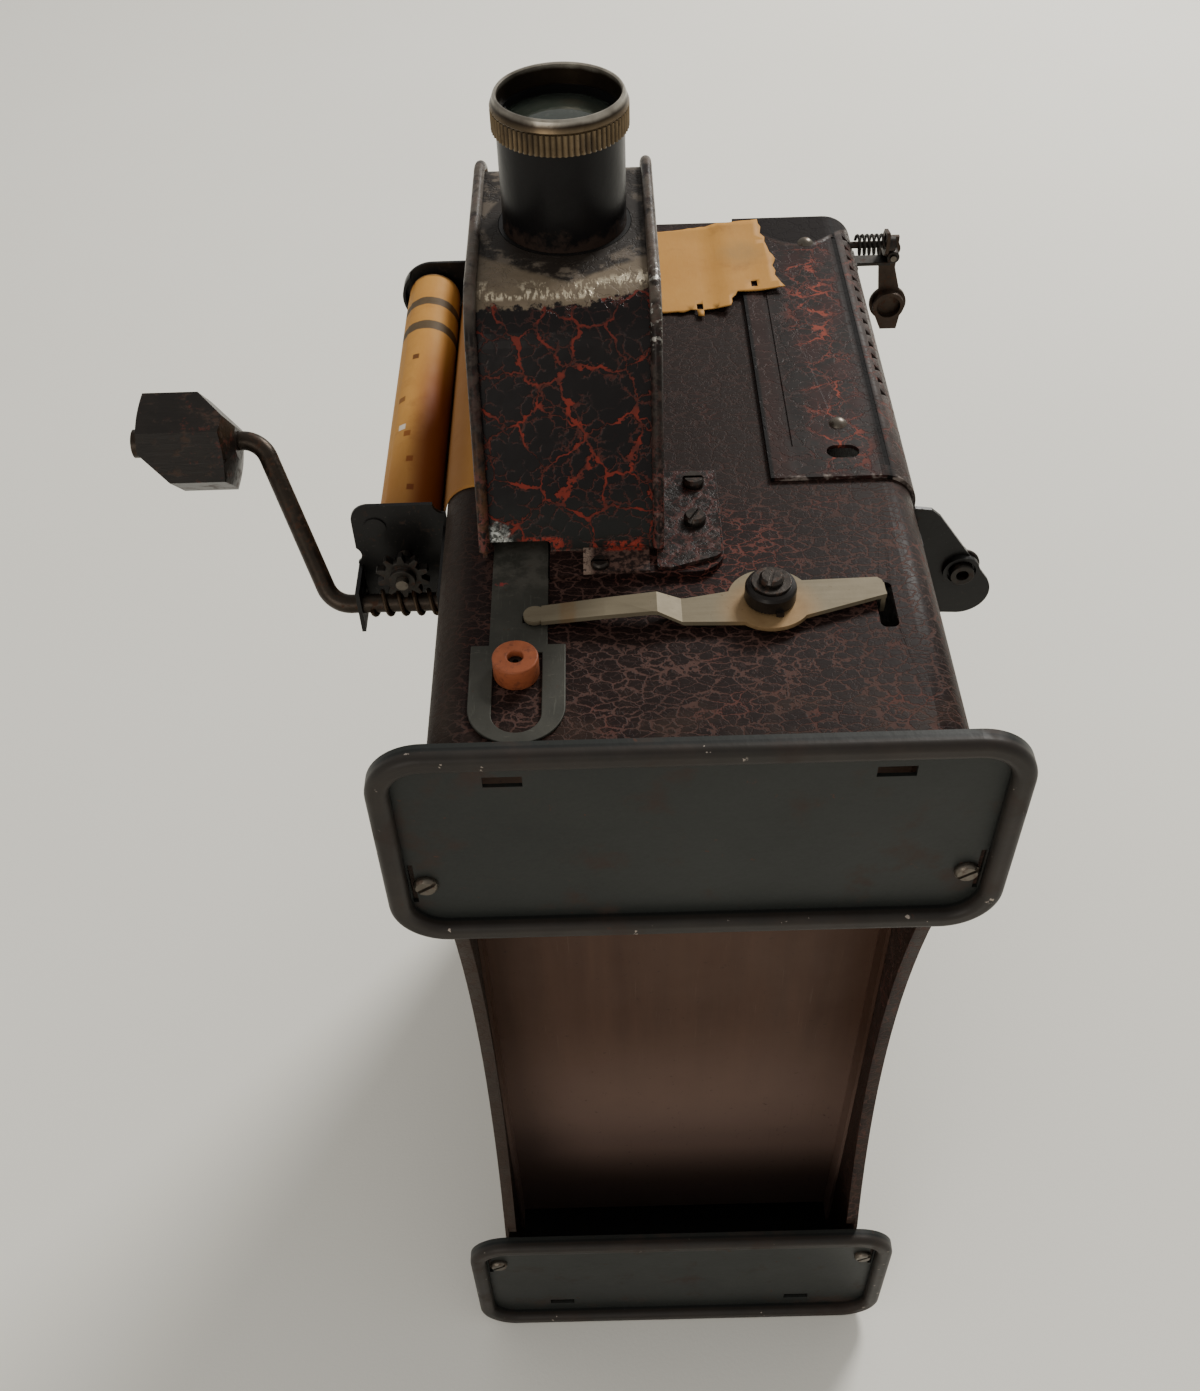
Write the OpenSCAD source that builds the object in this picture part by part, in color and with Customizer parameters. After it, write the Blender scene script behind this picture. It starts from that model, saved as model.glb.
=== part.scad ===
// Toy film projector of folded tinplate for wide paper film.
// It is drawn as it stands on its back: X runs across the case, Y from the two feet
// to the top of the case, and Z from the back of the case to the lens.
// Heights along Y are measured up from the plane of the feet; module seated() then
// moves the origin to the middle of the rear face.

/* [Case] */
// Width of the case
case_w = 113.4; // [108:0.2:118]
// Length of the case, back to front
case_d = 306; // [292:1:320]
// Thickness of the tinplate
sheet = 1; // [0.8:0.05:1.2]
// Radius of the two long front edges
corner_r = 8; // [6.5:0.5:9.5]
// Height of the floor panel above the feet
floor_y = 37.5; // [33:0.5:41]
// Rise of the arch cut in each side between the feet
arch_rise = 11; // [8:0.5:14]
// Width of the turned edge along the arch
arch_lip = 3.5; // [2:0.5:5]
// Clear space between pieces that slide or drop into each other
fit_gap = 0.1; // [0.05:0.01:0.15]

/* [Feet] */
// How far a foot reaches out past the side of the case
foot_over = 12.55; // [10.5:0.05:16]
// Length of a foot along the case
foot_d = 64.8; // [60:0.2:70]
// How far the front foot stands proud of the front face
foot_proud = 2; // [1.5:0.25:3]
// Corner radius of a foot
foot_corner = 13; // [10:0.5:15]
// Width of the rolled rim of a foot
rim_w = 5; // [4:0.25:5.5]
// Depth of the dished side of a foot
dish = 3.5; // [3:0.25:4.5]
// Distance of the foot screws from the side of the case
foot_screw_out = 3.7; // [3.3:0.1:4.3]
// Distance of the foot screws from the edge of the foot at the arch
foot_screw_in = 18.5; // [16:0.5:21]
// Diameter of a foot screw head
foot_screw_head = 5.6; // [5:0.1:6]
// Distance of the tab slots from the ends of a foot
foot_slot_in = 28.5; // [26:0.5:32]

/* [Lens box] */
// Distance of the lens axis from the crank side of the case
lens_in = 31.4; // [30.7:0.1:32.1]
// Lens axis above the feet
lens_y = 115.3; // [113:0.1:118]
// Height of the lens box above the front face
box_h = 54; // [50:0.5:58]
// Half length of the lens box at its base
box_half = 51.3; // [49:0.1:54]
// How far the middle of the lens box lies below the lens axis
box_drop = 2; // [1:0.1:3]
// Width of the lens box between its side plates
box_w = 38.5; // [36:0.1:40]
// Lean of the sloping walls
box_lean = 20; // [17:0.5:22]
// Radius of the two bends at the top of the lens box
box_bend = 13; // [10:0.5:15]
// Diameter of the rolled edge of the side plates
bead_d = 2.6; // [2:0.1:3]
// Width of the film channel under the lens box
film_gap = 0.8; // [0.6:0.05:1.2]
// Width of the picture window
gate_w = 24; // [20:0.5:26]
// Height of the picture window
gate_h = 18; // [15:0.5:20]

/* [Lens] */
// Outside diameter of the lens tube
tube_d = 28; // [26:0.25:29]
// Wall of the lens tube
tube_wall = 1.2; // [1:0.05:1.5]
// Length of the lens tube
tube_len = 52; // [48:0.5:56]
// How far the tube stands out of the box
tube_out = 25.5; // [22:0.5:29]
// Diameter of the knurled ring
ring_d = 30; // [29.8:0.1:31]
// Wall of the ring round its mouth
ring_wall = 1.6; // [1.4:0.1:2]
// Height of the knurled band
knurl_h = 4.6; // [4:0.1:6]
// Height of the bevelled lip above the knurling
lip_h = 3; // [2:0.1:3.5]
// Count of the grooves round the knurled band
knurl_n = 72; // [48:1:84]

/* [Shutter and lever] */
// Distance of the shutter strap from the lens axis
strap_off = 12.1; // [11.7:0.1:12.5]
// Width of the strap's upper part
strap_w = 12.6; // [11.6:0.1:12.8]
// Width of the slotted end of the strap
strap_end_w = 20.4; // [19.4:0.1:21]
// Width of the strap's slot
slot_w = 10.4; // [10.1:0.1:10.8]
// Thickness of the strap
strap_t = 0.8; // [0.6:0.05:1]
// Travel of the strap
strap_travel = 9.7; // [8:0.1:10.5]
// Diameter of the guide roller
roller_d = 9.8; // [9:0.1:10]
// Length of the guide roller
roller_h = 5.4; // [4.6:0.1:6]
// Height of the guide roller above the feet
roller_y = 25.1; // [24.5:0.1:26]
// Reach of the lever from its pivot to its working pin
lever_reach = 52.9; // [51.9:0.1:53.9]
// Lever pivot above the feet
pivot_y = 43.8; // [43:0.1:44.5]
// Diameter of the lever's eye
eye_d = 18.6; // [17:0.1:19.4]
// Diameter of the black bush on the lever
bush_d = 11.3; // [10.5:0.1:12]
// Height of the black bush
bush_h = 4.6; // [4:0.1:6]
// Thickness of the lever
lever_t = 1.1; // [0.9:0.05:1.3]
// Reach of the lever's turned-in end from the pivot
tip_reach = 25.6; // [25:0.1:26.2]
// Drop of the lever's long arm below the pivot
lever_drop = 2.9; // [2.5:0.1:3.2]
// Height of the step in the lever's long arm
lever_step = 2.5; // [2:0.1:3]

/* [Film and spools] */
// Lower edge of the paper film above the feet
film_y = 88; // [87.6:0.1:89]
// Width of the paper film
film_w = 116; // [112:0.5:119]
// Thickness of the paper film
paper = 0.25; // [0.2:0.01:0.3]
// Distance of the take-up spindle from the side of the case
spindle_out = 11.3; // [11:0.1:11.8]
// Radius of the wound paper
roll_r = 8; // [7:0.1:8.4]
// Radius of the spool tube
core_r = 3.2; // [3:0.1:3.8]
// Diameter of the take-up spindle
spindle_d = 3; // [2.6:0.1:3.2]
// Thickness of the spool brackets
bracket_t = 1; // [0.8:0.05:1.2]
// Distance of the supply spool axis from the side of the case
supply_out = 13.9; // [13.5:0.1:14.5]
// Distance of the supply spool axis behind the front face
supply_back = 25.5; // [24.5:0.1:27]

/* [Crank] */
// Diameter of the crank wire
wire_d = 4.7; // [4.4:0.1:4.8]
// Distance of the crank axis below the film
crank_drop = 10.4; // [9.8:0.1:11]
// Distance of the crank axis behind the front face
crank_back = 27.4; // [26.5:0.1:28.5]
// Throw of the crank
crank_throw = 41.5; // [38:0.5:45]
// Angle of the crank at rest, from the top towards the lens
crank_angle = 44; // [0:1:90]
// Teeth of the worm wheel
wheel_teeth = 10; // [9:1:11]
// Pitch radius of the worm wheel
wheel_r = 6.1; // [5.9:0.05:6.3]
// Pitch radius of the worm
worm_r = 3.15; // [3.1:0.01:3.2]
// Turns of the worm
worm_turns = 4.5; // [3.5:0.5:5]
// Thickness of the worm's wire
worm_wire = 1.2; // [1:0.05:1.25]
// Length of the crank knob
knob_len = 24; // [22:0.5:26]
// Width of the crank knob across its flats
knob_w = 22.4; // [20:0.2:24]

/* [Lamp cover] */
// Width of the lamp cover across the front
cover_w = 34.7; // [31.5:0.1:36.5]
// Distance of the cover's lower edge below the film
cover_drop = 1; // [0.5:0.1:1.5]
// Depth of the cover down the side of the case
cover_side = 34; // [31:0.5:38]
// Count of the small vents along the edge
vent_n = 15; // [10:1:16]

/* [Lamp] */
// Distance of the lamp behind the front face
lamp_back = 91; // [81:1:101]
// Radius of the lamp's glass
lamp_r = 17; // [15:0.5:19]
// Diameter of the condenser lens
condenser_d = 34; // [30:0.5:38]

/* [Hidden] */
$fn = 48;

foot_top = dish + sheet;
case_top = film_y + film_w + 5.7;
case_mid = (foot_top + case_top) / 2;
half_w = case_w / 2;
foot_w = case_w + 2 * foot_over;
foot_screw_x = half_w + foot_screw_out;
lens_x = lens_in - half_w;
strap_x = lens_x - strap_off;
pivot_x = strap_x + 2.1 + lever_reach;
spindle_x = -half_w - spindle_out;
supply_x = half_w + supply_out;
supply_z = case_d - supply_back;
crank_y = film_y - crank_drop;
crank_z = case_d - crank_back;
cover_x = half_w - cover_w;
cover_y = film_y - cover_drop;
vent_from = cover_y + 35.8;
vent_step = (case_top - 9.9 - vent_from) / (vent_n - 1);
lamp_z = case_d - lamp_back;
inner_w = half_w - sheet - fit_gap;
front_foot_z = case_d + foot_proud - foot_d;
box_base_z = case_d + film_gap + sheet;
box_top_z = case_d + box_h;
box_mid_x = lens_x - 0.45;
box_left = box_mid_x - box_w / 2;
box_right = box_mid_x + box_w / 2;
box_mid_y = lens_y - box_drop;
box_wall_y = box_mid_y - box_half;
tube_r = tube_d / 2;
ring_top = box_top_z + tube_out + knurl_h + lip_h - 3;
wheel_z = crank_z + wheel_r + worm_r;
worm_pitch = 2 * PI * wheel_r / wheel_teeth;
bracket_y = film_y - 2 - bracket_t / 2;
bracket_x = spindle_x - 12;
upper_y = film_y + film_w + 2;
knob_x = bracket_x - 29;
face_z = case_d + fit_gap;
lever_z = case_d + 1.3;
cover_top_z = case_d + fit_gap + sheet;
arm_y = film_y + film_w + 1;
hinge_z = supply_z + 18.4;

module seated() translate([0, -case_mid, 0]) children();
module slab(x, y, z) translate([x[0], y[0], z[0]]) cube([x[1] - x[0], y[1] - y[0], z[1] - z[0]]);
// Outlines drawn as (x, z), (y, z) and (x, y) and drawn out along the third axis.
module along_y(y) translate([0, y[1], 0]) rotate([90, 0, 0]) linear_extrude(y[1] - y[0]) children();
module along_x(x) translate([x[0], 0, 0]) rotate([90, 0, 90]) linear_extrude(x[1] - x[0]) children();
module along_z(z) translate([0, 0, z[0]]) linear_extrude(z[1] - z[0]) children();
// Round bars from a point p along one axis.
module rod_x(p, l, d) translate(p) rotate([0, 90, 0]) cylinder(h = l, d = d);
module rod_y(p, l, d) translate(p) rotate([-90, 0, 0]) cylinder(h = l, d = d);
module rod_z(p, l, d) translate(p) cylinder(h = l, d = d);
// The pair v laid round the value c.
function around(c, v) = [c + v[0], c + v[1]];
function arc(c, r, a, n) = [for (i = [0:n]) c + r * [cos(a[0] + (a[1] - a[0]) * i / n), sin(a[0] + (a[1] - a[0]) * i / n)]];

// Flat outline with round corners, centred.
module rounded_rect(w, h, r) {
    square([w - 2 * r, h], center = true);
    square([w, h - 2 * r], center = true);
    for (i = [-1, 1])
        for (j = [-1, 1])
            translate([i * (w / 2 - r), j * (h / 2 - r)]) circle(r);
}
// Section of the folded case: straight sides and a front with round corners.
module case_section(w, d, r) {
    translate([-w / 2, 0]) square([w, d - r]);
    translate([-w / 2 + r, 0]) square([w - 2 * r, d]);
    for (i = [-1, 1])
        translate([i * (w / 2 - r), d - r]) circle(r);
}
module case_skin(gap, t) {
    difference() {
        case_section(case_w + 2 * (gap + t), case_d + gap + t, corner_r + gap + t);
        translate([0, -1]) case_section(case_w + 2 * gap, case_d + gap + 1, corner_r + gap);
    }
}
// Slotted screw with its head at the origin, pointing down the Z axis.
module screw(head_d, head_h, shank_d, shank_l) {
    difference() {
        union() {
            cylinder(h = head_h * 0.6, d = head_d);
            translate([0, 0, head_h * 0.6]) cylinder(h = head_h * 0.4, d1 = head_d, d2 = head_d * 0.8, $fn = 32);
        }
        translate([0, 0, head_h]) cube([head_d + 1, head_d * 0.16, head_h * 0.9], center = true);
    }
    translate([0, 0, -shank_l]) cylinder(h = shank_l, d = shank_d);
}
module rivet(d, h) {
    intersection() {
        translate([0, 0, h - d * d / (8 * h) - h / 2]) sphere(r = d * d / (8 * h) + h / 2);
        cylinder(h = h * 2, d = d);
    }
}

// Case
arch_span = front_foot_z - foot_d - 4;
arch_r = arch_span * arch_span / (8 * arch_rise) + arch_rise / 2;
arch_z = (foot_d + front_foot_z) / 2;
flange_w = foot_screw_x + 4.2 - half_w;
flange_l = 46;
module arch_cut(x, r) translate([x[0], foot_top + arch_rise - arch_r, arch_z]) rotate([0, 90, 0])
    cylinder(h = x[1] - x[0], r = r, $fn = 96);
module foot_flange(z0) {
    for (i = [0, 1])
        mirror([i, 0, 0]) slab([half_w - sheet, half_w + flange_w], [foot_top, foot_top + sheet], [z0, z0 + flange_l]);
}
module foot_screw_places(y) {
    for (z = [foot_d - foot_screw_in, front_foot_z + foot_screw_in])
        for (x = [-foot_screw_x, foot_screw_x])
            translate([x, y, z]) children();
}
box_screw_at = [[box_right + 9.6, box_wall_y + 21.8], [box_right + 9.2, box_wall_y + 8.2], [box_right - 12.9, box_wall_y - 5.8]];
module main_shell() seated() color([0.2, 0.12, 0.12]) {
    difference() {
        union() {
            along_y([foot_top, case_top]) case_skin(-sheet, sheet);
            foot_flange((foot_d - flange_l) / 2);
            foot_flange(front_foot_z + (foot_d - flange_l) / 2);
        }
        for (i = [0, 1])
            mirror([i, 0, 0]) arch_cut([half_w - sheet - 1, half_w + 1], arch_r);
        along_z([case_d - 2, case_d + 1]) lever_slot();
        slab(around(lens_x, [-gate_w, gate_w] / 2), around(lens_y, [-gate_h, gate_h] / 2), [case_d - 2, case_d + 1]);
        slab([cover_x + 5, half_w + 1], [cover_y + 5, case_top + 1], [case_d - cover_side + 4, case_d + 1]);
        foot_screw_places(foot_top - 1) rod_y([0, 0, 0], 3, 3.1);
        rod_x([-half_w - 1, crank_y, crank_z], 3, 8.1);
        rod_z([roller_x, roller_y, case_d - 2], 4, roller_pin_d + 0.1);
        rod_z([pivot_x, pivot_y, case_d - 2], 4, 3.1);
        for (p = box_screw_at)
            rod_z([p[0], p[1], case_d - 2], 4, 2.1);
        rivet_places() rod_x([-3, 0, 0], 6, 2.1);
    }
    intersection() {
        for (i = [0, 1])
            mirror([i, 0, 0]) difference() {
                arch_cut([half_w - arch_lip, half_w - sheet / 2], arch_r + sheet);
                arch_cut([half_w - arch_lip - 1, half_w + 1], arch_r);
            }
        slab([-half_w, half_w], [foot_top + sheet, foot_top + arch_rise + 2 * sheet], around(arch_z, [-arch_span, arch_span] / 2));
    }
}
// The floor panel between the sides, with its edges turned down.
module underside_panel() seated() color([0.3, 0.2, 0.15]) {
    slab([-inner_w, inner_w], [floor_y, floor_y + sheet], [sheet + 9.5, case_d - corner_r - 1]);
    for (i = [0, 1])
        mirror([i, 0, 0]) slab([inner_w - sheet, inner_w], [floor_y - 7, floor_y + 0.5], [sheet + 9.5, case_d - corner_r - 4]);
}
// The end of the case that is uppermost in use, with slots that let the heat out.
module top_panel() seated() color([0.12, 0.09, 0.09]) {
    inner_d = case_d - sheet - fit_gap;
    difference() {
        along_y([case_top - 5, case_top]) intersection() {
            case_section(2 * inner_w, inner_d, corner_r - sheet);
            translate([-half_w, sheet + fit_gap]) square([case_w, case_d]);
        }
        along_y([case_top - 6, case_top - sheet]) intersection() {
            case_section(2 * (inner_w - sheet), inner_d - sheet, corner_r - 2 * sheet);
            translate([-half_w, 2 * sheet + fit_gap]) square([case_w, case_d]);
        }
        for (z = [lamp_z - 50:10:lamp_z + 50])
            for (x = [-28, 28])
                slab(around(x, [-18, 18]), [case_top - 3, case_top + 1], around(z, [-1.75, 1.75]));
    }
}
// The back that the projector stands on here, with round vents and the hole for the cable.
cable_at = [36, 62];
module rear_cover() seated() color([0.12, 0.09, 0.09]) {
    difference() {
        union() {
            slab([-inner_w, inner_w], [foot_top + fit_gap, case_top - 5.2], [0, sheet]);
            for (i = [0, 1])
                mirror([i, 0, 0]) slab([inner_w - sheet, inner_w], [floor_y + 8, case_top - 12], [sheet / 2, 9]);
        }
        for (x = [-30:15:30])
            for (y = [case_mid + 40:13:case_mid + 80])
                rod_z([x, y, -1], 4, 7);
        rod_z([cable_at[0], cable_at[1], -1], 4, 10);
    }
}
module cable_bush() seated() color([0.1, 0.1, 0.1]) translate([cable_at[0], cable_at[1], 0])
    rotate_extrude() polygon([[3, 0.1], [4.95, 0.1], [4.95, sheet + 0.05], [7, sheet + 0.05], [7, sheet + 2], [5.5, sheet + 4.5], [3, sheet + 4.5]]);

// Feet
// Rolled rim: its section is swept round the four sides and corners of the foot.
module rim_section() {
    r = min(1.8, rim_w / 2 - 0.4);
    translate([-rim_w / 2, r]) square([rim_w, foot_top - r]);
    translate([-rim_w / 2 + r, 0]) square([rim_w - 2 * r, foot_top]);
    for (i = [-1, 1])
        translate([i * (rim_w / 2 - r), r]) circle(r, $fn = 32);
}
module foot_tray() {
    path_r = foot_corner - rim_w / 2;
    a = foot_w / 2 - foot_corner;
    b = foot_d / 2 - foot_corner;
    for (i = [0, 1]) {
        mirror([i, 0, 0]) translate([a + path_r, 0, -b]) rotate([0, 0, 0]) linear_extrude(2 * b) rim_section();
        mirror([0, 0, i]) translate([-a, 0, b + path_r]) rotate([0, 90, 0]) linear_extrude(2 * a) rim_section();
        for (j = [0, 1])
            mirror([i, 0, 0]) mirror([0, 0, j]) translate([a, 0, b]) rotate([-90, -90, 0])
                rotate_extrude(angle = 90) translate([path_r, 0]) rim_section();
    }
    translate([0, foot_top, 0]) rotate([90, 0, 0]) linear_extrude(sheet)
        rounded_rect(foot_w - rim_w, foot_d - rim_w, path_r);
}
module foot(z0, outer) {
    difference() {
        translate([0, 0, z0 + foot_d / 2]) foot_tray();
        for (x = [-1, 1])
            translate([x * (foot_w / 2 - foot_slot_in), 0, z0 + foot_d / 2 + outer * (foot_d / 2 - 11.5)])
                slab([-4.15, 4.15], [-1, foot_top + 1], [-1.6, 1.6]);
        for (x = [-1, 1])
            translate([x * (foot_screw_x + 2.9), 0, z0 + foot_d / 2 - outer * (foot_d / 2 - foot_screw_in)])
                slab([-0.6, 0.6], [-1, foot_top + 1], [-7, 7]);
        foot_screw_places(-1) rod_y([0, 0, 0], foot_top + 2, 3.1);
    }
}
module front_foot() seated() color([0.13, 0.14, 0.13]) foot(front_foot_z, 1);
module rear_foot() seated() color([0.13, 0.14, 0.13]) foot(0, -1);
module foot_screws() seated() color([0.35, 0.33, 0.28])
    foot_screw_places(dish) rotate([90, 0, 0]) rotate([0, 0, 35]) screw(foot_screw_head, 1.6, 3, sheet * 2 + 4);
module foot_nuts() seated() color([0.3, 0.28, 0.24])
    foot_screw_places(foot_top + sheet) difference() {
        rotate([-90, 0, 0]) cylinder(h = 2.2, d = 5.2, $fn = 6);
        rod_y([0, -1, 0], 4, 3.05);
    }

// Lens box
// Outline of the lens box seen from the side, as (y, z) from the lens axis and the base.
// Grown moves it outwards; the ends of the sloping walls stay on the base.
function box_h_in(grown) = box_top_z - box_base_z + grown;
function bend_r(grown) = box_bend + grown;
function bend_y(grown) = (box_half * cos(box_lean) - box_bend - (box_h_in(0) - box_bend) * sin(box_lean)) / cos(box_lean);
function box_outline(grown) = concat(
    [[-box_half - grown / cos(box_lean), 0]],
    arc([-bend_y(0), box_h_in(0) - box_bend], bend_r(grown), [180 - box_lean, 90], 10),
    arc([bend_y(0), box_h_in(0) - box_bend], bend_r(grown), [90, box_lean], 10),
    [[box_half + grown / cos(box_lean), 0]]);
module box_side(grown) translate([box_mid_y, box_base_z]) polygon(box_outline(grown));
notch_x = box_left + 14.2;
module box_base_outline() {
    edge = box_right + 15.3;
    low = box_wall_y - 8.2;
    translate([box_left - sheet, box_wall_y + 24]) square([box_w + 2 * sheet, 2 * box_half - 21]);
    polygon(concat([[edge, box_wall_y + 28.5], [edge - 22, box_wall_y + 28.5], [notch_x - 0.5, box_wall_y + 24.5], [notch_x - 0.5, low]],
        arc([edge - 7, low + 7], 7, [270, 360], 8)));
}
module lens_box_base() seated() color([0.2, 0.13, 0.12]) {
    difference() {
        union() {
            along_z([case_d + film_gap, box_base_z]) box_base_outline();
            along_z([case_d, case_d + film_gap + 0.01]) intersection() {
                box_base_outline();
                translate([notch_x - 1, box_wall_y - 26]) square([60, film_y - 2.5 - box_wall_y + 26]);
            }
        }
        slab(around(lens_x, [-gate_w, gate_w] / 2), around(lens_y, [-gate_h, gate_h] / 2), [case_d - 1, box_base_z + 1]);
        for (p = box_screw_at)
            rod_z([p[0], p[1], case_d - 1], 5, 2.1);
        slab([box_left - 3, notch_x], [box_wall_y - 26, film_y + 2], [case_d - 1, box_base_z + 1]);
    }
}
notch_h = 2.4;
module lens_box_strip() seated() color([0.15, 0.08, 0.08]) {
    difference() {
        along_x([box_left, box_right]) difference() {
            box_side(0);
            box_side(-sheet);
        }
        rod_z([lens_x, lens_y, box_top_z - 3], 6, tube_d + 2 * sheet + 0.3);
        // Notch that the strap runs through.
        along_y(around(box_wall_y, [-10, 12])) {
            translate([box_left - 1, box_base_z - 1]) square([notch_x - box_left + 0.2, notch_h + 1]);
            translate([box_left - 1, box_base_z - 1]) square([notch_x - box_left + 1.2, notch_h]);
            translate([notch_x - 0.8, box_base_z + notch_h - 1]) circle(1);
        }
    }
    // Tab that takes the middle screw.
    difference() {
        slab([box_left + 21.8, box_right - 1.7], around(box_wall_y, [-8.2, 0.9]), around(box_base_z, [0, 0.8]));
        rod_z([box_screw_at[2][0], box_screw_at[2][1], box_base_z - 1], 3, 2.1);
    }
}
// Rolled edge of a side plate, swept along the outline of the box. The straight lengths
// run a little way into the bends, which are a hair thicker.
bead_lap = 0.2;
module box_bead() translate([0, box_mid_y, box_base_z]) {
    top = box_h_in(0) - box_bend;
    side = (top + box_bend * sin(box_lean)) / cos(box_lean);
    for (i = [0, 1])
        mirror([0, i, 0]) translate([0, -bend_y(0), top]) {
            rotate([0, 90, 0]) rotate([0, 0, 180]) rotate_extrude(angle = 90 - box_lean)
                translate([box_bend + bead_d / 2, 0]) circle(d = bead_d + 0.02);
            rotate([-box_lean, 0, 0]) translate([0, -box_bend - bead_d / 2, bead_lap]) mirror([0, 0, 1])
                cylinder(h = side + bead_lap - 0.9, d = bead_d);
        }
    rod_y([0, -bend_y(0) - bead_lap, box_h_in(0) + bead_d / 2], 2 * (bend_y(0) + bead_lap), bead_d);
}
module side_plate(x) {
    along_x([x, x + sheet]) box_side(bead_d * 0.6);
    translate([x + sheet / 2, 0, 0]) box_bead();
}
module lens_box_left_plate() seated() color([0.32, 0.25, 0.22]) difference() {
    side_plate(box_left - sheet);
    slab([box_left - 6, box_left + 6], [0, 300], [box_base_z - 6, box_base_z]);
}
module lens_box_right_plate() seated() color([0.32, 0.25, 0.22]) {
    difference() {
        union() {
            side_plate(box_right);
            along_z(around(box_base_z, [0, sheet])) translate([box_right, box_wall_y])
                polygon([[0, -7.2], [3, -7.7], [13.4, -4.2], [14.6, -3], [14.9, 26.5], [0, 26.5]]);
        }
        slab([box_right - 6, box_right + 6], [0, 300], [box_base_z - 6, box_base_z]);
        for (i = [0, 1])
            rod_z([box_screw_at[i][0], box_screw_at[i][1], box_base_z - 1], 4, 2.1);
    }
}
module lens_box_screws() seated() color([0.16, 0.14, 0.13]) {
    for (i = [0, 1])
        translate([box_screw_at[i][0], box_screw_at[i][1], box_base_z + sheet]) rotate([0, 0, 60 * i])
            screw(5.2, 2, 2, 6);
    translate([box_screw_at[2][0], box_screw_at[2][1], box_base_z + 0.8]) screw(4.2, 1.3, 2, 6);
}

// Lens
module lens_revolve() seated() translate([lens_x, lens_y, 0]) rotate_extrude($fn = 72) children();
module lens_collar() color([0.1, 0.09, 0.09]) lens_revolve() difference() {
    union() {
        translate([0, box_top_z - 30]) square([tube_r + sheet, 30]);
        translate([0, box_top_z - sheet - 1.05]) square([tube_r + 3, 1]);
    }
    translate([0, box_top_z - 31]) square([tube_r + 0.06, 32]);
}
tube_top = box_top_z + tube_out;
module lens_tube() color([0.08, 0.07, 0.07]) lens_revolve() {
    translate([tube_r - tube_wall, tube_top - tube_len]) square([tube_wall, tube_len]);
    translate([tube_r - tube_wall - 1, tube_top - 4]) square([1.2, 1]);
    translate([tube_r - tube_wall - 1, tube_top - tube_len + 3]) square([1.2, 1]);
}
lens_mouth_r = ring_d / 2 - ring_wall;
module lens_ring() color([0.5, 0.42, 0.3]) {
    seated() translate([lens_x, lens_y, tube_top - 3]) linear_extrude(knurl_h) difference() {
        polygon([for (i = [0:2 * knurl_n - 1]) (ring_d / 2 - 0.4 * (i % 2)) * [cos(180 * i / knurl_n), sin(180 * i / knurl_n)]]);
        circle(tube_r + 0.02, $fn = 72);
    }
    bevel_z = tube_top + knurl_h - 3;
    lens_revolve() polygon([[lens_mouth_r, tube_top], [tube_r + 0.4, tube_top], [tube_r + 0.4, bevel_z - 0.1],
        [ring_d / 2 - 0.3, bevel_z - 0.1], [ring_d / 2, bevel_z + 0.5], [ring_d / 2 - 0.2, bevel_z + 1], [ring_d / 2 - 0.8, ring_top - 0.4],
        [ring_d / 2 - 1.1, ring_top], [lens_mouth_r + 0.2, ring_top], [lens_mouth_r, ring_top - 0.3]]);
}
// Glass with one bulged face: its edge stands at z, and it bulges the way of side.
module bulged_glass(r, edge, bulge, z, side) {
    big = (r * r + bulge * bulge) / (2 * bulge);
    translate([0, 0, z]) mirror([0, 0, side > 0 ? 0 : 1]) rotate_extrude($fn = 64)
        polygon(concat([[0, 0], [r, 0]], arc([0, edge + bulge - big], big, [90 - asin(r / big), 90], 8)));
}
module front_lens() seated() color([0.3, 0.35, 0.3, 0.5]) translate([lens_x, lens_y, 0])
    bulged_glass(tube_r - tube_wall - 0.05, 1.2, 1.6, tube_top - 3, 1);
module rear_lens() seated() color([0.3, 0.35, 0.3, 0.5]) translate([lens_x, lens_y, 0])
    bulged_glass(tube_r - tube_wall - 0.05, 1, 1.4, tube_top - tube_len + 3, -1);

// Shutter strap, roller and lever
roller_pin_d = 3.3;
roller_x = strap_x - 0.2;
strap_low = roller_y - 20.2;
slot_low = roller_y - roller_d / 2 - strap_travel - 2.6;
slot_high = roller_y + roller_d / 2 + 0.6;
blade_z = box_base_z + fit_gap;
module strap_end_outline(w, low, high) {
    translate([strap_x, low + w / 2]) circle(d = w);
    translate([strap_x - w / 2, low + w / 2]) square([w, high - low - w / 2]);
}
module shutter_strap() seated() color([0.18, 0.19, 0.18]) difference() {
    union() {
        along_z([face_z, face_z + strap_t]) {
            strap_end_outline(strap_end_w, strap_low, slot_high + 2.4);
            translate([strap_x - strap_w / 2, slot_high]) square([strap_w, box_wall_y + 6 - slot_high]);
        }
        slab(around(strap_x, [-strap_w, strap_w] / 2), around(box_wall_y, [5, 6]), [face_z, blade_z + strap_t]);
        slab(around(strap_x, [-strap_w, strap_w] / 2), [box_wall_y + 5, lens_y - gate_h / 2 - 12], [blade_z, blade_z + strap_t]);
        slab([strap_x - strap_w / 2, lens_x + gate_w / 2 + 2], around(lens_y - gate_h / 2, [-14, -1.5]), [blade_z, blade_z + strap_t]);
    }
    along_z([case_d - 1, face_z + strap_t + 1]) strap_end_outline(slot_w, slot_low, slot_high);
    // Cross slot that the pin under the lever works in.
    slab([lever_tip_x - 1.3, lever_tip_x + 2], around(pivot_y - lever_drop, [-1.15, 1.15]), [case_d - 1, face_z + strap_t + 1]);
}
module strap_roller() seated() color([0.55, 0.22, 0.1]) difference() {
    rod_z([roller_x, roller_y, case_d + 0.05], roller_h, roller_d);
    rod_z([roller_x, roller_y, case_d - 1], roller_h + 2, roller_pin_d + 0.1);
}
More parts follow.
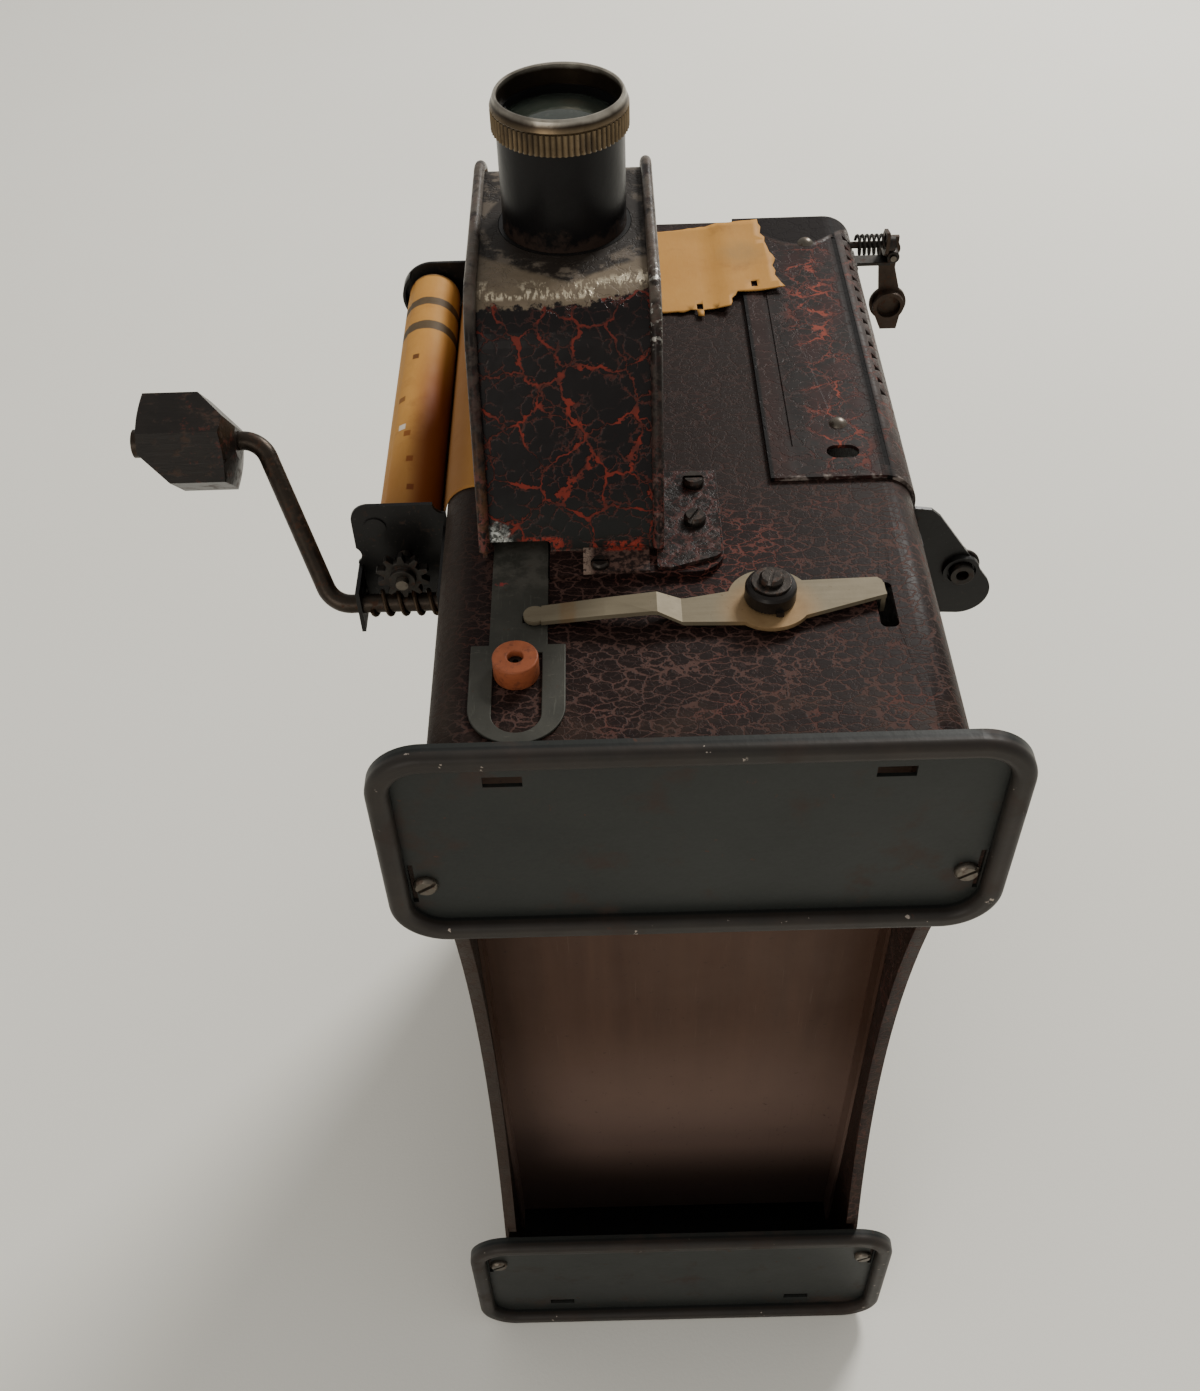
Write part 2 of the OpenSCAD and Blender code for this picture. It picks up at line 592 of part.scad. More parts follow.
module roller_pin() seated() color([0.2, 0.18, 0.17]) translate([roller_x, roller_y, case_d]) difference() {
    union() {
        translate([0, 0, -sheet - 1.2]) cylinder(h = 1.2, d = 6);
        translate([0, 0, -sheet - 0.1]) cylinder(h = sheet + 0.1 + roller_h - 1.6, d = roller_pin_d);
    }
    translate([0, 0, roller_h - 3]) cylinder(h = 4, d = 1.4);
}
lever_tip_x = pivot_x - lever_reach;
lever_swing = strap_travel / lever_reach * 180 / PI;
// Slot in the front that the turned-in end of the lever moves in.
module lever_slot() translate([pivot_x + tip_reach, pivot_y - 0.4]) rounded_rect(4, 14.2, 1.4);
// Lever outline about its pivot: both arms taper away from the eye.
module lever_outline() {
    circle(d = eye_d, $fn = 64);
    polygon([[-4, 3.5], [-18.4, 0.7], [2.8 - lever_reach, 2.5 - lever_drop], [2.8 - lever_reach, -2.5 - lever_drop],
        [-26, -2.7 - lever_drop], [-19.6, -6.7], [-4, -7.2]]);
    translate([1.4 - lever_reach, -lever_drop]) circle(d = 5);
    polygon([[5, 5.4], [tip_reach - 1.4, 5.9], [tip_reach - 0.4, 4.9], [tip_reach + 0.1, 0.4], [tip_reach - 0.5, 0.2], [5, -6.4]]);
}
// Side view of the lever: the long arm steps up and slopes down again to its end.
module lever_profile() polygon([for (p = [[30, 0], [-19, 0], [-24.5, lever_step], [-36, lever_step * 0.6], [3 - lever_reach, 0], [-60, 0],
    [-60, lever_t], [2.8 - lever_reach, lever_t], [-36.2, lever_step * 0.6 + lever_t], [-24.9, lever_step + lever_t],
    [-19.5, lever_t], [30, lever_t]]) [p[0], lever_z + p[1]]]);
module rocker_lever() seated() color([0.55, 0.5, 0.4]) translate([pivot_x, pivot_y, 0]) {
    difference() {
        union() {
            intersection() {
                along_z([lever_z - 1, lever_z + lever_t + lever_step + 1]) lever_outline();
                along_y([-12, 12]) lever_profile();
            }
            translate([0, 0, case_d + fit_gap]) cylinder(h = lever_z - case_d - fit_gap + 0.5, d = 8);
        }
        rod_z([0, 0, case_d - 1], 8, 3.1);
    }
    translate([-lever_reach, -lever_drop, case_d + 0.25]) cylinder(h = lever_z - case_d - 0.2, d = 2);
    slab(around(tip_reach, [-0.9, 0.1]), [0.9, 4.7], [case_d - 3.5, lever_z + 0.5]);
}
module lever_bush() seated() color([0.09, 0.08, 0.08]) translate([pivot_x, pivot_y, lever_z + lever_t]) {
    rotate_extrude() polygon([[1.55, 0.1], [bush_d / 2 - 0.4, 0.1], [bush_d / 2, 0.5], [bush_d / 2, bush_h - 1.1],
        [bush_d / 2 - 0.3, bush_h - 0.4], [bush_d / 2 - 1, bush_h], [1.55, bush_h]]);
    // Small lug at the foot of the bush.
    slab([0.8, 2.4], [-bush_d / 2 - 0.6, 1.5 - bush_d / 2], [0.15, 1.3]);
}
module lever_washer() seated() color([0.14, 0.13, 0.12]) translate([pivot_x, pivot_y, lever_z + lever_t + bush_h]) difference() {
    cylinder(h = 0.7, d = 8.8);
    translate([0, 0, -1]) cylinder(h = 3, d = 3.1);
}
module lever_screw() seated() color([0.16, 0.14, 0.13]) translate([pivot_x, pivot_y, lever_z + lever_t + bush_h + 0.7])
    rotate([0, 0, 75]) screw(5.4, 1.4, 3, lever_t + bush_h + 6);

// Crank
// Everything on the crank is drawn with the crank straight up, then turned to its rest angle.
module crank_frame() seated() translate([0, crank_y, crank_z]) rotate([crank_angle, 0, 0]) children();
bend = 7;
crank_bend_x = bracket_x - 2;
arm_lean = 22;
arm_run = crank_throw - 2 * bend * (1 - sin(arm_lean));
// The straight lengths run a little way into the bends, which are a hair thicker.
wire_lap = 0.3;
module wire_bend(a) rotate_extrude(angle = a) translate([bend, 0]) circle(d = wire_d + 0.03);
module crank_wire() color([0.3, 0.2, 0.13]) crank_frame() {
    rod_x([crank_bend_x - wire_lap, 0, 0], -half_w + 14 - crank_bend_x + wire_lap, wire_d);
    translate([crank_bend_x, bend, 0]) rotate([0, 0, 180 + arm_lean]) wire_bend(90 - arm_lean);
    knee = [crank_bend_x - bend * cos(arm_lean), bend - bend * sin(arm_lean), 0];
    arm_len = arm_run / cos(arm_lean);
    translate(knee) rotate([-90, 0, 0]) rotate([0, -arm_lean, 0]) translate([0, 0, -wire_lap])
        cylinder(h = arm_len + 2 * wire_lap, d = wire_d);
    elbow = knee + [-arm_run * tan(arm_lean), arm_run, 0];
    translate(elbow + [-bend * cos(arm_lean), -bend * sin(arm_lean), 0]) rotate([0, 0, arm_lean]) wire_bend(90 - arm_lean);
    rod_x([knob_x - knob_len - 1, crank_throw, 0], elbow[0] - bend * cos(arm_lean) - knob_x + knob_len + 1 + wire_lap, wire_d);
    rod_x([knob_x - knob_len - 2.2, crank_throw, 0], 1.9, wire_d + 2.4);
}
worm_sides = 8;
worm_steps = 28;
worm_rings = worm_turns * worm_steps;
worm_start = spindle_x - worm_pitch * worm_turns / 2;
function worm_point(i, k) =
    let (a = 360 * i / worm_steps, b = 360 * k / worm_sides,
        r = wire_d / 2 - 0.02 + worm_wire / 2 * (1 + cos(b)), x = worm_start + worm_pitch * i / worm_steps + worm_wire / 2 * sin(b))
    [x, r * cos(a + worm_phase), r * sin(a + worm_phase)];
function worm_middle(i) = let (a = 360 * i / worm_steps + worm_phase, r = wire_d / 2 - 0.02 + worm_wire / 2)
    [worm_start + worm_pitch * i / worm_steps, r * cos(a), r * sin(a)];
// The turns of the worm stand midway between two teeth at rest.
worm_phase = 90 + 180 - 360 * (worm_turns / 2 - floor(worm_turns / 2)) - crank_angle;
module worm() color([0.25, 0.18, 0.13]) crank_frame() {
    polyhedron(
        points = [for (i = [0:worm_rings]) for (k = [0:worm_sides - 1]) worm_point(i, k)],
        faces = concat([[for (k = [0:worm_sides - 1]) k]],
            [for (i = [0:worm_rings - 1]) for (k = [0:worm_sides - 1])
                [i * worm_sides + k, (i + 1) * worm_sides + k, (i + 1) * worm_sides + (k + 1) % worm_sides]],
            [for (i = [0:worm_rings - 1]) for (k = [0:worm_sides - 1])
                [i * worm_sides + k, (i + 1) * worm_sides + (k + 1) % worm_sides, i * worm_sides + (k + 1) % worm_sides]],
            [[for (k = [worm_sides - 1:-1:0]) worm_rings * worm_sides + k]]));
}
knob_turn = 1;
// Six-sided knob with one edge line towards the lens; each end is cut off askew on one side.
module crank_knob() color([0.11, 0.07, 0.06]) crank_frame() translate([knob_x, crank_throw, 0]) rotate([0, -90, 0]) difference() {
    intersection() {
        rotate([0, 0, knob_turn]) cylinder(h = knob_len, d = knob_w / cos(30), $fn = 6);
        rotate_extrude($fn = 64) polygon([[0, 0], [knob_w * 0.2, 0], [knob_w * 0.6, 2.2], [knob_w * 0.6, knob_len - 2.2], [knob_w * 0.2, knob_len], [0, knob_len]]);
    }
    for (i = [0, 1])
        rotate([0, 0, knob_turn + 90 + 180 * i]) translate([knob_w * 0.13, 0, i * knob_len]) rotate([0, (2 * i - 1) * 45, 0])
            translate([0, -knob_w, i == 0 ? -20 : 0]) cube([20, 2 * knob_w, 20]);
    translate([0, 0, -1]) cylinder(h = knob_len + 2, d = wire_d + 0.12);
}
module shaft_bush() seated() color([0.35, 0.3, 0.22]) translate([-half_w - bracket_t, crank_y, crank_z]) rotate([0, 90, 0]) difference() {
    union() {
        translate([0, 0, -0.9]) cylinder(h = 0.9, d = 10);
        cylinder(h = sheet + bracket_t + 2, d = 8);
    }
    translate([0, 0, -2]) cylinder(h = 9, d = wire_d + 0.1);
}
module shaft_collar() color([0.3, 0.28, 0.25]) crank_frame() difference() {
    rod_x([-half_w + sheet + 2.4, 0, 0], 5, 9);
    rod_x([-half_w, 0, 0], 12, wire_d);
}

// Film spools and their brackets
module rivet_places() {
    for (p = [[crank_y - 11.1, crank_z + 5], [crank_y - 11.1, crank_z + 13], [upper_y - 5, wheel_z - 7], [upper_y - 5, wheel_z + 1]])
        translate([-half_w, p[0], p[1]]) children();
}
module left_bracket() seated() color([0.07, 0.07, 0.07]) {
    difference() {
        union() {
            // Shelf that the spindle stands in.
            along_y(around(bracket_y, [-bracket_t, bracket_t] / 2)) {
                difference() {
                    union() {
                        translate([bracket_x, crank_z - 6.5]) square([-half_w - bracket_x, 27]);
                        translate([bracket_x + 4, crank_z - 6.5]) square([-half_w - bracket_x - 4, 31.5]);
                        translate([bracket_x + 4.5, crank_z + 20.5]) circle(4.5);
                    }
                    translate([bracket_x - 1.9, crank_z + 9.5]) circle(3);
                    translate([-half_w - 0.001, crank_z + 25]) circle(3);
                }
            }
            // Leg that carries the outer end of the crank shaft.
            along_x([bracket_x, bracket_x + bracket_t]) difference() {
                translate([crank_y - 3.4, crank_z - 6.5]) square([bracket_y - crank_y + 3.8, 13]);
                translate([crank_y + 5.4, crank_z - 2]) circle(1.6);
            }
            // Flange on the side of the case.
            slab([-half_w - bracket_t, -half_w], [crank_y - 17.6, bracket_y + 0.4], [crank_z - 6.5, crank_z + 18]);
        }
        rod_x([bracket_x - 1, crank_y, crank_z], 3, wire_d + 0.1);
        rod_x([-half_w - 3, crank_y, crank_z], 4, 8.1);
        rod_y([spindle_x, bracket_y - 2, wheel_z], 4, spindle_d + 0.1);
        rivet_places() rod_x([-3, 0, 0], 6, 2.1);
    }
    // Raised round boss pressed in the shelf.
    rod_y([bracket_x + 5.6, bracket_y - 0.9, crank_z + 18.5], 0.6, 5.5);
}
module upper_left_bracket() seated() color([0.06, 0.06, 0.06]) difference() {
    union() {
        along_y(around(upper_y, [0, bracket_t])) {
            translate([spindle_x, wheel_z]) circle(roll_r + 1.8);
            translate([spindle_x, wheel_z - roll_r - 1.8]) square([-half_w - spindle_x, 2 * roll_r + 3.6]);
        }
        // Hood turned down round the end of the roll.
        along_y([upper_y - 3.2, upper_y + bracket_t]) difference() {
            translate([spindle_x, wheel_z]) circle(roll_r + 1.8);
            translate([spindle_x, wheel_z]) circle(roll_r + 1);
            translate([spindle_x + 1, wheel_z - 20]) square([20, 40]);
            // The film leaves the roll here.
            translate([spindle_x - 7, wheel_z]) square([20, 20]);
        }
        slab([-half_w - bracket_t, -half_w], around(upper_y, [-9, 0.5]), around(wheel_z - roll_r - 1.8, [0, 14]));
    }
    rod_y([spindle_x, upper_y - 1, wheel_z], 4, spindle_d + 0.1);
    rivet_places() rod_x([-3, 0, 0], 6, 2.1);
}
module bracket_rivets() seated() color([0.2, 0.18, 0.16])
    rivet_places() rotate([0, -90, 0]) {
        translate([0, 0, bracket_t]) rivet(4, 1.1);
        translate([0, 0, -sheet - 0.6]) cylinder(h = sheet + bracket_t + 0.7, d = 2);
        translate([0, 0, -sheet - 0.6]) cylinder(h = 0.6, d = 3);
    }
module take_up_spindle() seated() color([0.35, 0.3, 0.24]) {
    rod_y([spindle_x, crank_y - 4, wheel_z], upper_y + bracket_t + 2.5 - crank_y + 4, spindle_d);
    rod_y([spindle_x, bracket_y + bracket_t / 2 + 0.15, wheel_z], 0.9, spindle_d + 3);
}
wheel_tip = wheel_r + 0.5;
wheel_root = wheel_r - 1.5;
wheel_t = 2.2;
module worm_wheel() seated() color([0.12, 0.11, 0.1]) translate([spindle_x, crank_y - wheel_t / 2, wheel_z]) rotate([-90, 0, 0]) difference() {
    union() {
        cylinder(h = wheel_t, r = wheel_root + 0.1);
        translate([0, 0, -1.4]) cylinder(h = wheel_t + 4, d = spindle_d + 3.4);
        // Teeth: the first points at the worm.
        linear_extrude(wheel_t) for (i = [0:wheel_teeth - 1])
            rotate(90 + 360 * i / wheel_teeth) polygon([[wheel_root - 1, -1], [wheel_root + 0.3, -0.95], [wheel_tip, -0.5], [wheel_tip, 0.5], [wheel_root + 0.3, 0.95], [wheel_root - 1, 1]]);
    }
    translate([0, 0, -3]) cylinder(h = wheel_t + 8, d = spindle_d);
}
module spool_core() seated() color([0.5, 0.38, 0.25]) difference() {
    rod_y([spindle_x, film_y, wheel_z], film_w, 2 * core_r);
    rod_y([spindle_x, film_y - 1, wheel_z], film_w + 2, spindle_d);
}
// The wound paper, with the outer layers slightly stepped towards the upper end.
module film_roll() seated() color([0.75, 0.5, 0.25]) translate([spindle_x, film_y, wheel_z]) rotate([-90, 0, 0])
    rotate_extrude($fn = 64) polygon([[core_r + 0.02, 0.3], [roll_r - 1.2, 0.3], [roll_r - 0.5, 0], [roll_r, 0.2], [roll_r, film_w - 22],
        [roll_r - 0.4, film_w - 0.4], [roll_r - 1.2, film_w], [core_r + 0.02, film_w - 0.3]]);
// The free web: from the inner side of the roll, round the edge of the case and across the front.
web_in = corner_r + 0.25;
web_out = web_in + paper;
roll_c = [spindle_x, wheel_z];
edge_c = [-half_w + corner_r, case_d - corner_r];
roll_pass = roll_r + 0.3;
web_d = roll_c - edge_c;
// The web crosses from one round to the other, so it leaves both at the same slant.
web_a = atan2(web_d[1], web_d[0]) + 360 - acos((web_out + roll_pass) / norm(web_d));
wrap_a = web_a - 180;
torn_x = box_right + 28.5;
leaf_end = torn_x + 11.8;
lift_z = cover_top_z + 0.25;
leaf_top = film_y + film_w;
// The torn end of the film, measured from the lens box, lies on the lamp cover. Both edges have holes.
torn_edge = [for (p = [[-17, -44], [-15, -42.4], [-3.8, -42.8], [-3, -38.5], [-1.4, -35.2], [12, -34.6], [9.8, -28],
    [11, -21], [9, -13], [7.5, -5], [7, 1.5], [-10, 1]]) [torn_x + p[0], leaf_top + p[1]]];
film_holes = [[torn_x - 12.3, leaf_top - 41], [torn_x + 3.6, leaf_top - 31.6]];
edge_holes = [for (p = [[6.8, 18], [4.2, 34], [7.2, 52], [5.6, 71], [7.6, 90]]) [film_y + p[1], wheel_z + p[0]]];
module film_strip() seated() color([0.78, 0.54, 0.28]) intersection() {
    along_y([film_y, film_y + film_w + 2]) polygon(concat(
        arc(roll_c, roll_pass, [wrap_a - 60, wrap_a], 6), arc(edge_c, web_out, [web_a, 90], 8),
        [[cover_x - 9.2, case_d + 0.25 + paper], [cover_x - 5.2, lift_z + paper], [leaf_end, lift_z + paper],
        [leaf_end, lift_z], [cover_x - 5, lift_z], [cover_x - 9, case_d + 0.25]],
        arc(edge_c, web_in, [90, web_a], 8), arc(roll_c, roll_pass + paper, [wrap_a, wrap_a - 60], 6)));
    difference() {
        translate([0, 0, wheel_z - 12]) linear_extrude(60) difference() {
            polygon(concat([[spindle_x - 22, film_y], [box_right - 2, film_y], [box_right + 1, leaf_top - 43],
                [box_right + 10, leaf_top - 43]], torn_edge, [[box_right + 10.5, leaf_top], [spindle_x - 22, leaf_top]]));
            for (p = film_holes)
                translate(p) square([1.9, 2.3], center = true);
        }
        for (p = edge_holes)
            slab([-half_w - 7, -half_w + 0.8], around(p[0], [-1.15, 1.15]), around(p[1], [-0.95, 0.95]));
    }
}
seat_y = film_y - 6;
seat_d = 5;
module right_bracket() seated() color([0.07, 0.06, 0.06]) difference() {
    union() {
        along_y(around(seat_y, [0, bracket_t])) {
            translate([supply_x + 1.2, supply_z - 7.7]) circle(7.3);
            polygon([[half_w, supply_z - 14.2], [supply_x + 1.2, supply_z - 15], [supply_x + 7.1, supply_z - 3.4],
                [supply_x - 7.3, supply_z + 17.1], [supply_x - 9.8, supply_z + 19.4], [half_w, supply_z + 20]]);
        }
        slab([half_w, half_w + bracket_t], around(seat_y, [-9, 0.5]), around(supply_z, [-12, 16]));
        // Collar pressed down round the seat.
        rod_y([supply_x, seat_y - 1.3, supply_z], 1.6, seat_d + 4.2);
    }
    rod_y([supply_x, seat_y - 2, supply_z], 1.7, seat_d + 2.2);
    rod_y([supply_x, seat_y - 5, supply_z], 10, seat_d + 0.1);
}
module supply_seat() seated() color([0.16, 0.13, 0.12]) translate([supply_x, seat_y, supply_z]) rotate([-90, 0, 0]) difference() {
    union() {
        translate([0, 0, -2.6]) cylinder(h = 2.2, d = seat_d + 1);
        translate([0, 0, -1]) cylinder(h = 1 + bracket_t + 0.15, d = seat_d);
        translate([0, 0, bracket_t + 0.1]) cylinder(h = 0.9, d = 10);
        translate([0, 0, bracket_t + 0.1]) cylinder(h = 5, d = 5.6);
    }
    translate([0, 0, -4]) cylinder(h = 12, d = 3);
}
// Spring-loaded arm that holds the upper end of the supply spool.
hinge_x = supply_x - 1.2;
side_x = half_w + fit_gap + sheet;
bolt_y = arm_y - 5.4;
bolt_z = hinge_z + 4.2;
module retainer_base() seated() color([0.1, 0.09, 0.09]) difference() {
    union() {
        slab([side_x, side_x + bracket_t], around(arm_y, [-9, 1.2]), around(hinge_z, [-13, -1.4]));
        slab([side_x, hinge_x - 0.6], around(arm_y, [-6.2, -1.6]), around(hinge_z, [-2.4, -1.4]));
        rod_y([hinge_x, arm_y - 6.2, hinge_z], 4.6, 3.8);
    }
    rod_y([hinge_x, arm_y - 8, hinge_z], 12, 1.9);
    rod_x([side_x - 1, arm_y - 3.9, hinge_z - 8], 4, 2.1);
}
module retainer_pin() seated() color([0.4, 0.38, 0.34])
    rod_y([hinge_x, arm_y - 6.8, hinge_z], 8.8, 1.8);
module retainer_arm() seated() color([0.28, 0.2, 0.17]) difference() {
    union() {
        along_y(around(arm_y, [-1.2, 0])) {
            translate([supply_x, supply_z]) circle(5.6);
            translate([hinge_x, hinge_z]) circle(2.9);
            polygon([[supply_x - 3.2, supply_z + 4], [supply_x + 3.2, supply_z + 4], [hinge_x + 2, hinge_z - 6],
                [hinge_x + 2.4, hinge_z], [hinge_x - 3, hinge_z], [hinge_x - 2.9, hinge_z - 6]]);
            translate([hinge_x - 2.9, hinge_z]) square([5.1, 4.1]);
            polygon([[supply_x - 3.6, supply_z - 4], [supply_x + 4.4, supply_z - 3], [supply_x + 3.6, supply_z - 9], [supply_x - 1.4, supply_z - 9]]);
        }
        // Cup pressed down over the end of the spool.
        rod_y([supply_x, arm_y - 3.4, supply_z], 2.8, 9.4);
        // Turned edge that the spring bears on.
        along_x(around(hinge_x, [-3, -2])) translate([arm_y, hinge_z])
            polygon([[-0.6, 0.4], [-0.6, 4.2], [-3, 7.8], [-7.6, 8.9], [-8.4, 8.2], [-8.4, 3], [-5.6, 0.4]]);
    }
    rod_y([supply_x, arm_y - 4.4, supply_z], 2.8, 7.2);
    rod_y([hinge_x, arm_y - 8, hinge_z], 12, 1.9);
    // The slot lets the arm swing past the bolt.
    slab(around(hinge_x, [-5, -1]), around(bolt_y, [-1.3, 1.3]), around(bolt_z, [-1.4, 3.2]));
}
spring_turns = 5.5;
spring_steps = 16;
spring_sides = 6;
spring_wire = 0.9;
spring_from = side_x + 0.3;
spring_len = hinge_x - 3 - 0.5 - spring_from;
spring_rings = spring_turns * spring_steps;
function spring_point(i, k, wire = spring_wire) =
    let (a = 360 * i / spring_steps, b = 360 * k / spring_sides, r = 2.7 + wire / 2 * cos(b),
        x = spring_from + wire / 2 * sin(b) + spring_len * i / spring_rings)
    [x, bolt_y + r * cos(a), bolt_z + r * sin(a)];
module retainer_spring() seated() color([0.2, 0.19, 0.18]) {
    polyhedron(
        points = [for (i = [0:spring_rings]) for (k = [0:spring_sides - 1]) spring_point(i, k)],
        faces = concat([[for (k = [0:spring_sides - 1]) k]],
            [for (i = [0:spring_rings - 1]) for (k = [0:spring_sides - 1])
                [i * spring_sides + k, (i + 1) * spring_sides + k, (i + 1) * spring_sides + (k + 1) % spring_sides]],
            [for (i = [0:spring_rings - 1]) for (k = [0:spring_sides - 1])
                [i * spring_sides + k, (i + 1) * spring_sides + (k + 1) % spring_sides, i * spring_sides + (k + 1) % spring_sides]],
            [[for (k = [spring_sides - 1:-1:0]) spring_rings * spring_sides + k]]));
}
// Least gap of a coil to itself, from points on its middle line, a turn being so many steps.
function least_gap(points, steps, d) = min([for (i = [0:len(points) - 1 - steps]) for (j = [i + steps / 2:min(i + steps * 3 / 2, len(points) - 1)])
    norm(points[i] - points[j])]) - d;
echo(spring_gap_to_itself = least_gap([for (i = [0:spring_rings]) spring_point(i, 0, 0)], spring_steps, spring_wire));
echo(worm_gap_to_itself = least_gap([for (i = [0:worm_rings]) worm_middle(i)], worm_steps, worm_wire));
module retainer_screw() seated() color([0.2, 0.18, 0.16]) {
    // Its shank starts in the side of the cover and its head stands clear of the arm.
    rod_x([half_w + fit_gap - 1, bolt_y, bolt_z], hinge_x - 0.7 - half_w, 2);
    rod_x([hinge_x - 1.9, bolt_y, bolt_z], 2, 4.2);
}

// Lamp cover
cover_in_z = case_d - cover_side;
vent_turn = 38;
module lamp_cover() seated() color([0.19, 0.1, 0.1]) difference() {
    along_y([cover_y, case_top]) intersection() {
        case_skin(fit_gap, sheet);
        translate([cover_x, cover_in_z]) square([60, cover_side + 20]);
    }
    // Pressed lines down the cover.
    slab(around(half_w, [-6.7, -5.5]), [cover_y + 4, case_top - 12], around(cover_top_z, [-0.45, 1]));
    slab([cover_x + 5.5, cover_x + 6.5], [cover_y + 12, case_top - 16], around(cover_top_z, [-0.35, 1]));
    // Finger hole.
    translate([half_w - 16.2, cover_y + 9.6, case_d - 1]) linear_extrude(4) {
        translate([-1.5, 0]) circle(2.5);
        translate([1.5, 0]) circle(2.5);
        square([3, 5], center = true);
    }
    for (i = [0:vent_n - 1])
        translate([half_w - corner_r, vent_from + i * vent_step, case_d - corner_r]) rotate([0, vent_turn, 0])
            cylinder(h = corner_r + 4, r = 1.5, $fn = 3);
    cover_rivet_places() rod_z([0, 0, -3], 6, 2.1);
    rod_x([half_w - 4, bolt_y, bolt_z], 7, 2.05);
    rod_x([half_w - 1, arm_y - 3.9, hinge_z - 8], 4, 2.1);
}
module cover_rivet_places() {
    translate([half_w - 14.5, case_top - 14.7, cover_top_z]) children();
    translate([half_w - 16, cover_y + 21, cover_top_z]) children();
}
module cover_rivets() seated() color([0.35, 0.32, 0.3]) {
    cover_rivet_places() {
        rivet(4.6, 1.3);
        translate([0, 0, -sheet - 0.5]) cylinder(h = sheet + 0.6, d = 2);
        translate([0, 0, -sheet - 0.5]) cylinder(h = 0.45, d = 3.4);
    }
    translate([half_w + fit_gap + sheet + bracket_t, arm_y - 3.9, hinge_z - 8]) rotate([0, 90, 0]) {
        rivet(4, 1.1);
        translate([0, 0, -sheet - bracket_t]) cylinder(h = sheet + bracket_t + 0.1, d = 2);
    }
}

// Lamp, reflector and condenser
socket_y = lens_y - 42;
module lamp_bulb() seated() color([0.8, 0.8, 0.75, 0.5]) translate([lens_x, socket_y, lamp_z]) rotate([-90, 0, 0]) rotate_extrude() {
    difference() {
        union() {
            translate([0, 42]) circle(lamp_r, $fn = 64);
            translate([0, 12]) square([8, 22]);
            translate([0, -6]) square([6.6, 19]);
        }
        translate([-50, -10]) square([50, 100]);
    }
}
module lamp_socket() seated() color([0.7, 0.68, 0.62]) translate([lens_x, socket_y, lamp_z]) rotate([-90, 0, 0]) difference() {
    union() {
        translate([0, 0, -14]) cylinder(h = 24, d = 20);
        translate([0, 0, -16]) cylinder(h = 3, d = 26);
    }
    translate([0, 0, -8]) cylinder(h = 20, d = 13.4);
}
module socket_bracket() seated() color([0.4, 0.38, 0.35]) {
    slab(around(lens_x, [-14, 14]), around(floor_y + sheet, [0, 1.2]), around(lamp_z, [-32, 14]));
    slab(around(lens_x, [-14, 14]), [floor_y + sheet, socket_y - 16.2], around(lamp_z - 32, [0, 1.2]));
    slab(around(lens_x, [-14, 14]), around(socket_y - 16, [-1.2, 0]), around(lamp_z, [-32, 14]));
}
reflector_z = lamp_z - 38;
module reflector() seated() color([0.75, 0.75, 0.72]) translate([lens_x, lens_y, reflector_z]) difference() {
    intersection() {
        translate([0, 0, 44]) sphere(r = 45, $fn = 96);
        translate([0, 0, -5]) cylinder(h = 60, r = 26);
        translate([-40, -40, -5]) cube([80, 80, 13]);
    }
    translate([0, 0, 44]) sphere(r = 44, $fn = 96);
}
module reflector_bracket() seated() color([0.4, 0.38, 0.35]) {
    slab(around(lens_x, [-8, 8]), around(floor_y + sheet, [0, 1.2]), around(reflector_z, [-20, -2]));
    slab(around(lens_x, [-8, 8]), [floor_y + sheet, lens_y + 6], around(reflector_z, [-2.3, -1.1]));
}
condenser_z = case_d - sheet - 34;
module condenser_lens() seated() color([0.7, 0.75, 0.72, 0.5]) translate([lens_x, lens_y, 0])
    bulged_glass(condenser_d / 2, 2, 5, condenser_z, -1);
module condenser_holder() seated() color([0.35, 0.33, 0.3]) translate([lens_x, lens_y, 0]) rotate_extrude() difference() {
    union() {
        translate([condenser_d / 2 - 2, condenser_z]) square([4, case_d - sheet - condenser_z]);
        translate([condenser_d / 2 + 0.05, condenser_z - 6]) square([1.95, 8]);
        translate([condenser_d / 2 - 2, case_d - sheet - 1.2]) square([8.5, 1.2]);
    }
    translate([condenser_d / 2 + 1.05, condenser_z + 2]) square([4, case_d - sheet - 1.2 - condenser_z - 2]);
}

main_shell();
underside_panel();
top_panel();
rear_cover();
front_foot();
rear_foot();
foot_screws();
foot_nuts();
lens_box_base();
lens_box_strip();
lens_box_left_plate();
lens_box_right_plate();
lens_box_screws();
lens_collar();
lens_tube();
lens_ring();
front_lens();
rear_lens();
shutter_strap();
strap_roller();
roller_pin();
rocker_lever();
lever_bush();
lever_washer();
lever_screw();
crank_wire();
worm();
crank_knob();
shaft_bush();
shaft_collar();
left_bracket();
upper_left_bracket();
bracket_rivets();
take_up_spindle();
worm_wheel();
spool_core();
film_roll();
film_strip();
right_bracket();
supply_seat();
retainer_base();
retainer_arm();
retainer_pin();
retainer_spring();
retainer_screw();
lamp_cover();
cover_rivets();
lamp_bulb();
lamp_socket();
socket_bracket();
reflector();
reflector_bracket();
condenser_lens();
condenser_holder();
cable_bush();
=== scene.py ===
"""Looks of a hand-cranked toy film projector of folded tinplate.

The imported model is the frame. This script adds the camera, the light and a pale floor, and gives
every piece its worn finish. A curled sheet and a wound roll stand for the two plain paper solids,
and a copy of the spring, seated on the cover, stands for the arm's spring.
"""
import math

import bpy
from mathutils import Matrix, Vector, noise
from mathutils.geometry import delaunay_2d_cdt


